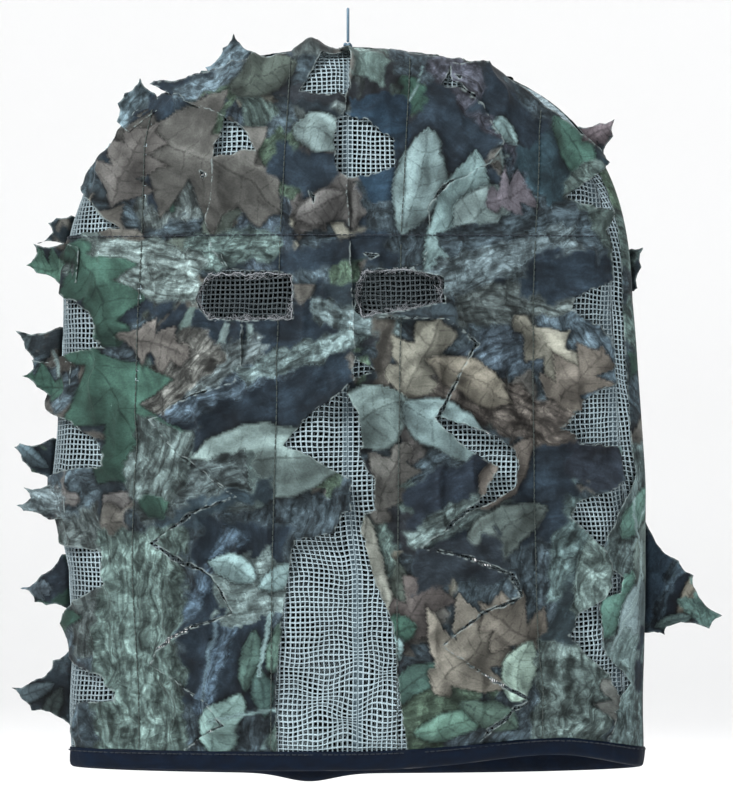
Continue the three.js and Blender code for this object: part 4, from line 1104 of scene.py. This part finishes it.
def make_strips():
    seed = 100
    levels = [
        ("upper", UPPER_BORDERS, BROW_HEIGHT - 1.6, [360, LEAF_CEILING, LEAF_CEILING, 373], True, 1.25),
        ("lower", LOWER_BORDERS, LEAF_FLOOR, [BROW_HEIGHT + 1.0] * 4, True, 1.25),
        ("back", back_borders(), LEAF_FLOOR, [372, LEAF_CEILING, LEAF_CEILING, 372], False, 1.7),
    ]
    for level, borders, bottom, tops, facing, spacing in levels:
        for i, letter in enumerate(STRIP_LETTERS):
            low, high = (i, i + 1) if facing else (i + 1, i)
            over = letter in "bd"
            rising = border_side(borders[low], bottom, tops[i], 1, over)
            falling = border_side(borders[high], bottom, tops[i], -1, over)[::-1]
            name = f"leaf_strip_{letter}_{level}"
            outline = np.concatenate([rising, falling])
            make_strip(name, outline, letter, facing, spacing, seed)
            seed += 7


make_strips()


# ---- Free leaf tips, each bending about its root ----
# Outlines are [x, height above the hem], and y is the side they grow from, as in the CAD model. Then
# come how far the tip curls towards the viewer of its own side, and how much it twists.
LEAF_TIPS = {
    "left_leaf_1": (6, [(-150, 297), (-158, 296), (-162.5, 293), (-160, 288), (-168.5, 282), (-153, 281)],
                    2.5, 2.0),
    "left_leaf_2": (-6, [(-153, 281.5), (-169, 281), (-167.5, 276), (-173, 269.5), (-167.5, 265.5),
                         (-154.8, 259)], 3.0, -1.5),
    "left_leaf_3": (6, [(-156, 237), (-180, 234.5), (-175, 225), (-170, 216), (-157.5, 216)],
                    3.5, 2.5),
    "left_leaf_4": (-6, [(-157.2, 219.5), (-170, 218.5), (-169.5, 214), (-175, 210), (-167.5, 204),
                         (-158.8, 196)], 3.0, 1.5),
    "left_leaf_5": (6, [(-159.8, 176.5), (-178, 173.5), (-181, 171.5), (-176.5, 164), (-171.5, 158),
                        (-160.8, 153)], 3.0, -2.0),
    "left_leaf_6": (-6, [(-160.8, 151.5), (-174.5, 150), (-171, 144.5), (-178, 140.5), (-174.5, 137.5),
                         (-161.1, 132.5)], 2.5, 1.5),
    "left_leaf_7": (6, [(-155, 113.5), (-166, 102.5), (-177.5, 95), (-171.5, 92), (-170, 87.5),
                        (-163.5, 86), (-151.5, 84)], 2.5, 2.0),
    "left_leaf_8": (6, [(-150.5, 62), (-160, 56), (-162, 50), (-169, 46), (-182.5, 41), (-177, 35),
                        (-171.5, 29), (-156.5, 25), (-149.5, 19)], 3.5, -2.5),
    "crown_leaf_1": (-5, [(-124.5, 347), (-124, 357), (-120, 362), (-114.5, 366), (-111.8, 370),
                          (-108, 364.5), (-104, 362.5)], 2.0, 1.0),
    "crown_leaf_2": (-3, [(-77, 376.5), (-69.5, 382), (-67.5, 387), (-61.5, 394), (-58, 389),
                          (-51.5, 385)], 2.0, 1.0),
    "right_leaf_1": (5, [(125, 345), (136, 347), (144.5, 349.5), (143.5, 340), (138.2, 327.5)],
                     3.0, 2.0),
    "right_leaf_2": (4, [(153.4, 279), (159.5, 279.5), (158.5, 269), (156.6, 257.5), (154.8, 256)],
                     1.0, 0.5),
    "right_leaf_3": (5, [(161, 149), (163.5, 126), (179, 110), (187, 102), (187, 97), (203, 80), (196, 73),
                         (172.5, 74.5), (171.5, 70), (162.9, 71)], 6.0, 3.0),
}
TUCK = 9.0                        # how far the root of a tip runs on over the hood
TIP_LIFT = 3.6
TIP_SPACING = 1.0


def scallop(outline, share):
    """Pulls the middle of each side of a leaf inwards, so that its lobes end in points."""
    outline = np.array(outline, float)
    points = []
    for a, b in zip(outline[:-1], outline[1:]):
        side = b - a
        inward = np.array([side[1], -side[0]])
        points += [a, a + side * 0.33 + inward * share * 0.8, a + side * 0.66 + inward * share * 0.9]
    return np.array([*points, outline[-1]])


def make_leaf_tip(name, y, outline, curl, twist, seed):
    """A free tip: its root is tucked under the hood's edge, and it bends with its own body."""
    outline = np.array(outline, float)
    first, last = outline[0], outline[-1]
    root = (first + last) / 2
    side = (last - first) / np.linalg.norm(last - first)
    outward = np.array([-side[1], side[0]])
    if (outline.mean(axis=0) - root) @ outward < 0:
        outward = -outward
    winding = np.sum(outline[:, 0] * np.roll(outline[:, 1], -1) - np.roll(outline[:, 0], -1) * outline[:, 1])
    lobes = scallop(outline, 0.13 if winding < 0 else -0.13)
    tucked = [last - outward * TUCK - side * 1.5, first - outward * TUCK + side * 1.5]
    loop = fray(subdivide(np.concatenate([lobes, tucked]), TIP_SPACING), 0.4, seed)
    points, triangles, edge_distance = cut_out(loop, [], TIP_SPACING, seed)
    x, height = points[:, 0], points[:, 1]
    side_of_hood = 1 if y > 0 else -1
    angle = x_to_angle(x, height, TIP_LIFT)
    surface = hood_point(angle if y < 0 else 180 - angle, height, TIP_LIFT)
    reach = (points - root) @ outward
    depth = (np.abs(surface[:, 1]) ** 4 + abs(y) ** 4) ** 0.25
    beyond = np.maximum(0, reach) / np.max(reach)
    across = (points - root) @ side
    depth = depth + curl * beyond ** 2 + twist * beyond * across / max(8.0, np.abs(across).max())
    depth = depth + 1.3 * (noise(x / 9, height / 9, seed) - 0.5) * smooth_step(0, 8, reach)
    depth = depth - 0.5 * np.exp(-np.abs(across) / 0.9) * smooth_step(1, 6, reach)
    place = np.stack([x, side_of_hood * depth, HEM_Z + height], axis=1)
    if y > 0:
        triangles = triangles[:, ::-1]
    solid, faces = thicken(place, triangles, CLOTH_THICKNESS)
    piece = make_mesh(name + "_cloth", solid, faces, CLOTH)
    paint_cloth(piece, x, height, x, edge_distance, FACE_PRINT)
    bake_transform(piece)
    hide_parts(name)


for index, (tip, facts) in enumerate(LEAF_TIPS.items()):
    make_leaf_tip(tip, *facts, 300 + 9 * index)


# ---- Tubes: thread, cord and the knot ----
def unit(vectors):
    return vectors / (np.linalg.norm(vectors, axis=-1, keepdims=True) + 1e-12)


def lengths_along(line):
    """How far each point of a line is from its start, along it."""
    return np.concatenate([[0], np.cumsum(np.linalg.norm(np.diff(line, axis=0), axis=1))])


def points_at(at, length, line):
    return np.stack([np.interp(at, length, line[:, i]) for i in range(3)], axis=1)


def tube(route, radii, sides, reference):
    """Points, faces and (length, turn) of a round tube along a route, closed at both ends."""
    route = np.asarray(route, float)
    along = unit(np.gradient(route, axis=0))
    across = unit(np.cross(along, reference))
    up = np.cross(across, along)
    turns = np.linspace(0, 2 * math.pi, sides, endpoint=False)
    radii = np.broadcast_to(np.asarray(radii, float), len(route))
    rings = (route[:, None] + radii[:, None, None] *
             (np.cos(turns)[None, :, None] * across[:, None] + np.sin(turns)[None, :, None] * up[:, None]))
    ring = np.arange(sides)
    faces = []
    for row in range(len(route) - 1):
        a, b = row * sides, (row + 1) * sides
        faces += np.stack([a + ring, a + (ring + 1) % sides, b + (ring + 1) % sides, b + ring], axis=1).tolist()
    faces += [ring[::-1].tolist(), (ring + (len(route) - 1) * sides).tolist()]
    length = lengths_along(route)
    facts = np.stack([np.repeat(length, sides), np.tile(turns, len(route)), np.zeros(len(route) * sides)], axis=1)
    return rings.reshape(-1, 3), faces, facts


def join_tubes(name, tubes, material):
    """One piece from many tubes, with each point's length and turn for the thread's material."""
    points, faces, facts = [], [], []
    for tube_points, tube_faces, tube_facts in tubes:
        start = sum(len(p) for p in points)
        points.append(tube_points)
        faces += [[start + i for i in face] for face in tube_faces]
        facts.append(tube_facts)
    piece = make_mesh(name, np.concatenate(points), faces, material)
    set_attribute(piece, "cloth", np.concatenate(facts))
    return piece


# ---- Rows of stitches ----
STITCH_LENGTH = 2.7
STITCH_GAP = 0.5
STITCH_RADIUS = 0.30
STITCH_LIFT = 2.0
STITCH_SHAPE = np.array([  # along a stitch: how far, how high, how thick
    [0.0, -0.35, 0.45], [0.06, -0.10, 0.8], [0.25, 0.10, 1.0], [0.5, 0.16, 1.05], [0.75, 0.10, 1.0],
    [0.94, -0.10, 0.8], [1.0, -0.35, 0.45]])


def stitch_row(name, node, angles, heights, lifts, skip_windows=False, thread=THREAD):
    """A row of separate stitches along a line on the hood."""
    line = hood_point(angles, heights, lifts)
    outward = unit(hood_point(angles, heights, lifts + 1.0) - line)
    length = lengths_along(line)
    tubes = []
    for start in np.arange(0, length[-1] - STITCH_LENGTH, STITCH_LENGTH + STITCH_GAP):
        at = start + STITCH_SHAPE[:, 0] * STITCH_LENGTH
        route = points_at(at, length, line)
        normal = points_at(at, length, outward)
        middle = route[len(route) // 2]
        height = middle[2] - HEM_Z
        if skip_windows and any(l < middle[0] < r and b < height < t for l, r, b, t in WINDOWS):
            continue
        route = route + normal * STITCH_SHAPE[:, 1:2]
        points, faces, facts = tube(route, STITCH_RADIUS * STITCH_SHAPE[:, 2], 6, normal)
        facts[:, 0] += start
        tubes.append((points, faces, facts))
    piece = join_tubes(name, tubes, thread)
    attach(piece, "hood")
    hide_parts(node)


def make_stitches():
    for letter in STRIP_LETTERS:
        lift = STITCH_LIFT + (0.9 if letter in "bd" else 0)
        top = STITCH_ROWS[letter][-1][0]
        for level, low, high in (("upper", BROW_HEIGHT + 1.5, top), ("lower", LEAF_FLOOR + 3, BROW_HEIGHT - 1.5)):
            heights = np.arange(low, high, 1.0)
            x = row_x(letter, heights)
            angles = np.clip(x_to_angle(x, heights), -86, 86)
            stitch_row(f"stitch_row_{letter}_{level}", f"stitches_{letter}_{level}", angles, heights,
                       np.full(len(heights), lift), True)
        heights = np.arange(LEAF_FLOOR + 3, 335, 1.0)
        stitch_row(f"stitch_row_{letter}_back", f"stitches_{letter}_back",
                   np.full(len(heights), float(BACK_STITCH_ANGLES[letter])), heights, np.full(len(heights), lift))
    angles = np.linspace(-82, 60, 400)
    stitch_row("stitch_row_brow", "stitches_brow", angles, np.full(400, BROW_HEIGHT - 0.2), np.full(400, 2.75),
               thread=DARK_THREAD)
    angles = np.linspace(-180, 180, 1200)
    stitch_row("stitch_row_tape", "stitches_tape", angles, np.full(1200, 8.6), np.full(1200, 2.25),
               thread=DARK_THREAD)


make_stitches()


# ---- Neck tape, folded over the edge of the netting ----
TAPE_SECTION = [  # lift and height above the hem, round the fold and back inside it
    (1.75, 10.2), (2.15, 9.4), (2.05, 7.8), (2.2, 5.0), (2.15, 2.2), (1.7, 0.5), (0.8, -0.35), (-0.8, -0.35),
    (-1.7, 0.5), (-2.15, 2.2), (-2.2, 5.0), (-2.05, 7.8), (-2.15, 9.4), (-1.75, 10.2), (-1.15, 9.8),
    (-1.1, 5.0), (-1.0, 1.6), (0, 1.0), (1.0, 1.6), (1.1, 5.0), (1.15, 9.8)]
TAPE_JOIN_ANGLE, TAPE_JOIN_END = 9.0, 12.5  # where the end of the tape laps over its beginning
TAPE_COLUMNS = 460


def make_tape():
    """The folded tape: one closed section, swept round the hem."""
    angles = np.linspace(-180, 180, TAPE_COLUMNS, endpoint=False)
    section = np.array(TAPE_SECTION)
    arcs = np.interp(angles, ARC_ANGLES, ARC_LENGTHS) * half_size(5)[0]
    angle, lift = np.meshgrid(angles, section[:, 0], indexing="ij")
    height = np.repeat(section[None, :, 1], TAPE_COLUMNS, axis=0)
    arc = np.repeat(arcs[:, None], len(section), axis=1)
    puff = 0.9 * (noise(arc / 7, height / 9, 61) - 0.5) + 0.5 * (noise(arc / 3.1 + 9, height / 4, 62) - 0.5)
    lap = 0.7 * smooth_step(TAPE_JOIN_ANGLE - 0.5, TAPE_JOIN_ANGLE, angle) * smooth_step(
        TAPE_JOIN_END + 0.5, TAPE_JOIN_END, angle)
    lift = lift + np.where(lift > 1.4, puff + lap, np.where(lift < -1.4, -puff, 0))
    height = height + 0.7 * (noise(arc / 14, 0.5, 63) - 0.5) * smooth_step(1.3, 1.7, np.abs(lift))
    points = hood_point(angle, height, lift)
    count = len(section)
    ring, turn = np.arange(count), np.arange(TAPE_COLUMNS)[:, None]
    after = (turn + 1) % TAPE_COLUMNS
    faces = np.stack([turn * count + ring, turn * count + (ring + 1) % count,
                      after * count + (ring + 1) % count, after * count + ring], axis=-1).reshape(-1, 4)
    piece = make_mesh("neck_tape_folded", points.reshape(-1, 3), faces, TAPE)
    round_section = np.concatenate([[0], np.cumsum(np.hypot(*np.diff(section, axis=0).T))])
    along = np.repeat(round_section[None, :], TAPE_COLUMNS, axis=0)
    set_attribute(piece, "cloth", np.stack([arc, along, np.zeros_like(arc)], axis=-1).reshape(-1, 3))
    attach(piece, "hood")
    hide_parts("neck_tape")


make_tape()


# ---- Seam allowances, inside the netting ----
SEAMS = {"centre_seam_front": 0, "side_seam_right": RIGHT_SEAM, "centre_seam_back": 180,
         "side_seam_left": 360 + LEFT_SEAM}
SEAM_HALF_WIDTH = 3.0


def make_seam(name, angle, seed):
    """A narrow ruffled band of cloth edge, inside the hood."""
    heights = np.arange(11, 380, 1.4)
    across = np.linspace(-1, 1, 7)
    height, share = np.meshgrid(heights, across, indexing="ij")
    width = SEAM_HALF_WIDTH * (1 + 0.16 * (noise(height / 7, np.sign(share) * 5, seed) - 0.5))
    middle = (angle + 180) % 360 - 180
    if abs(middle) < 100:
        arc = arc_of(middle, height) + share * width
        turn = angle_of(arc, height)
    else:                             # the middle of the back, where arcs from the face would wrap round
        arc = share * width
        turn = angle + angle_of(arc, height)
    ruffle = 0.7 * np.abs(share) * np.sin(height / 4.3 + 2 * noise(height / 16, share, seed))
    points = hood_point(turn, height, -1.3 + ruffle * 0.35 - 0.9 * np.abs(share)).reshape(-1, 3)
    node = np.arange(height.size).reshape(height.shape)
    a, b, c, d = node[:-1, :-1].ravel(), node[:-1, 1:].ravel(), node[1:, 1:].ravel(), node[1:, :-1].ravel()
    triangles = np.concatenate([np.stack([a, b, c], axis=1), np.stack([a, c, d], axis=1)])
    solid, faces = thicken(points, triangles, 0.7)
    piece = make_mesh(name + "_cloth", solid, faces, SEAM)
    cloth = np.stack([arc.ravel(), height.ravel(), np.zeros(height.size)], axis=1)
    set_attribute(piece, "cloth", np.concatenate([cloth, cloth]))
    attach(piece, "hood")
    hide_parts(name)
    return piece


seams = {name: make_seam(name, angle, 70 + i) for i, (name, angle) in enumerate(SEAMS.items())}


# ---- Hanging loop: three twisted strands, from the knot up over the hook's place and back ----
LOOP_ROUTE = [  # y and z in millimetres, at x = 0
    (-1.1, -18.4), (-1.5, -16), (-2.2, -13), (-2.9, -10), (-3.4, -7), (-3.5, -4.6), (-3.0, -2.6), (-1.7, -1.2),
    (0, -0.8),
    (1.7, -1.2), (3.0, -2.6), (3.5, -4.6), (3.4, -7), (2.9, -10), (2.2, -13), (1.5, -16), (1.1, -18.4)]
STRANDS = 3
STRAND_RADIUS = 0.42
STRAND_TURN_LENGTH = 3.4


def smooth_route(points, count):
    """A smooth curve through a few points, as an even row of many."""
    points = np.asarray(points, float)
    padded = np.concatenate([[2 * points[0] - points[1]], points, [2 * points[-1] - points[-2]]])
    curve = []
    for p, q, r, s in zip(padded, padded[1:], padded[2:], padded[3:]):
        for t in np.linspace(0, 1, 12, endpoint=False):
            curve.append(0.5 * (2 * q + (r - p) * t + (2 * p - 5 * q + 4 * r - s) * t ** 2
                                + (3 * q - p - 3 * r + s) * t ** 3))
    curve = np.array([*curve, points[-1]])
    length = lengths_along(curve)
    return points_at(np.linspace(0, length[-1], count), length, curve), length[-1]


def twisted_cord(name, route, length):
    """A cord of three strands that lie round a core."""
    core = CORD_DIAMETER / 2 - STRAND_RADIUS
    along = unit(np.gradient(route, axis=0))
    side = np.tile([1.0, 0, 0], (len(route), 1))
    up = np.cross(side, along)
    travelled = np.linspace(0, length, len(route))
    tubes = []
    for strand in range(STRANDS):
        turn = 2 * math.pi * (travelled / STRAND_TURN_LENGTH + strand / STRANDS)
        shifted = route + core * (np.cos(turn)[:, None] * side + np.sin(turn)[:, None] * up)
        tubes.append(tube(shifted, STRAND_RADIUS, 8, side))
    return join_tubes(name, tubes, CORD)


loop_route, loop_length = smooth_route([(0, y, z) for y, z in LOOP_ROUTE], 150)
loop_cord = twisted_cord("loop_cord", loop_route, loop_length)
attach(loop_cord, "hood")
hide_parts("hang_loop")


def make_knot():
    """The overhand knot that the loop's two ends are tied in: a trefoil of the same cord."""
    turn = np.linspace(0, 2 * math.pi, 120)
    wrap = np.stack([np.sin(turn) + 2 * np.sin(2 * turn), np.cos(turn) - 2 * np.cos(2 * turn),
                     -1.5 * np.sin(3 * turn)], axis=1)
    route = wrap * np.array([0.66, 0.62, 0.85]) + np.array([0, 0, -20.9])
    tubes = [tube(route, 0.72, 8, np.array([0.31, 0.2, 0.93]))]
    for x, y in ((0.7, -0.6), (-0.6, 0.8)):
        tail = np.array([(0, 0, -20.5), (x * 1.6, y, -21.6), (x * 3.0, y * 1.6, -22.4), (x * 4.6, y * 1.9, -22.9)])
        tail_route, _ = smooth_route(tail, 16)
        tubes.append(tube(tail_route, np.linspace(0.6, 0.42, 16), 8, np.array([0.1, 0.9, 0.3])))
    piece = join_tubes("knot_cord", tubes, CORD)
    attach(piece, "hood")
    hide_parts("loop_knot")
    return piece


knot = make_knot()


# ---- Frayed threads round the eye windows ----
FRAY_GAP = 0.5                    # from one loose thread to the next, along the window's edge
FRAY_POINTS = 6                   # along a thread
FRAY_RADII = np.linspace(0.17, 0.09, FRAY_POINTS)
SIDEWAYS = np.array([0, 1.0, 0.01])


def make_frays():
    dice = np.random.default_rng(8)
    tubes = []
    for corners in WINDOW_RIMS:
        for a, b in zip(corners, corners[1:] + corners[:1]):
            a, b = np.array(a, float), np.array(b, float)
            along = unit(b - a)
            inward = np.array([-along[1], along[0]])
            for _ in range(int(np.linalg.norm(b - a) / FRAY_GAP)):
                share = dice.uniform(0, 1)
                start = a + (b - a) * share - inward * dice.uniform(-0.4, 1.4)
                slant = along * dice.uniform(-2.2, 2.2)
                reach = dice.uniform(0.5, 3.0) * (0.35 + 1.1 * noise(start[0] / 4, start[1] / 4, 6))
                steps = np.linspace(0, 1, FRAY_POINTS)[:, None]
                flat = start + (inward + slant * steps) * reach * steps
                lift = 2.3 + 1.4 * dice.uniform(0.2, 1) * steps[:, 0] - 1.3 * steps[:, 0] ** 2
                route = hood_point(x_to_angle(flat[:, 0], flat[:, 1]), flat[:, 1], lift)
                tubes.append(tube(route, FRAY_RADII, 4, SIDEWAYS))
        # A rolled raw edge runs round the window.
        rim = fray(subdivide(corners, 0.8), 1.3, 5)
        rim = np.concatenate([rim, rim[:1]])
        x, height = rim.T
        route = hood_point(x_to_angle(x, height), height, 2.5 + 0.9 * noise(x / 3, height / 3, 3))
        tubes.append(tube(route, 0.10 + 0.28 * noise(x / 2.5, height / 2.5, 4), 6, SIDEWAYS))
    piece = join_tubes("window_frays", tubes, FRAY)
    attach(piece, "hood")


make_frays()
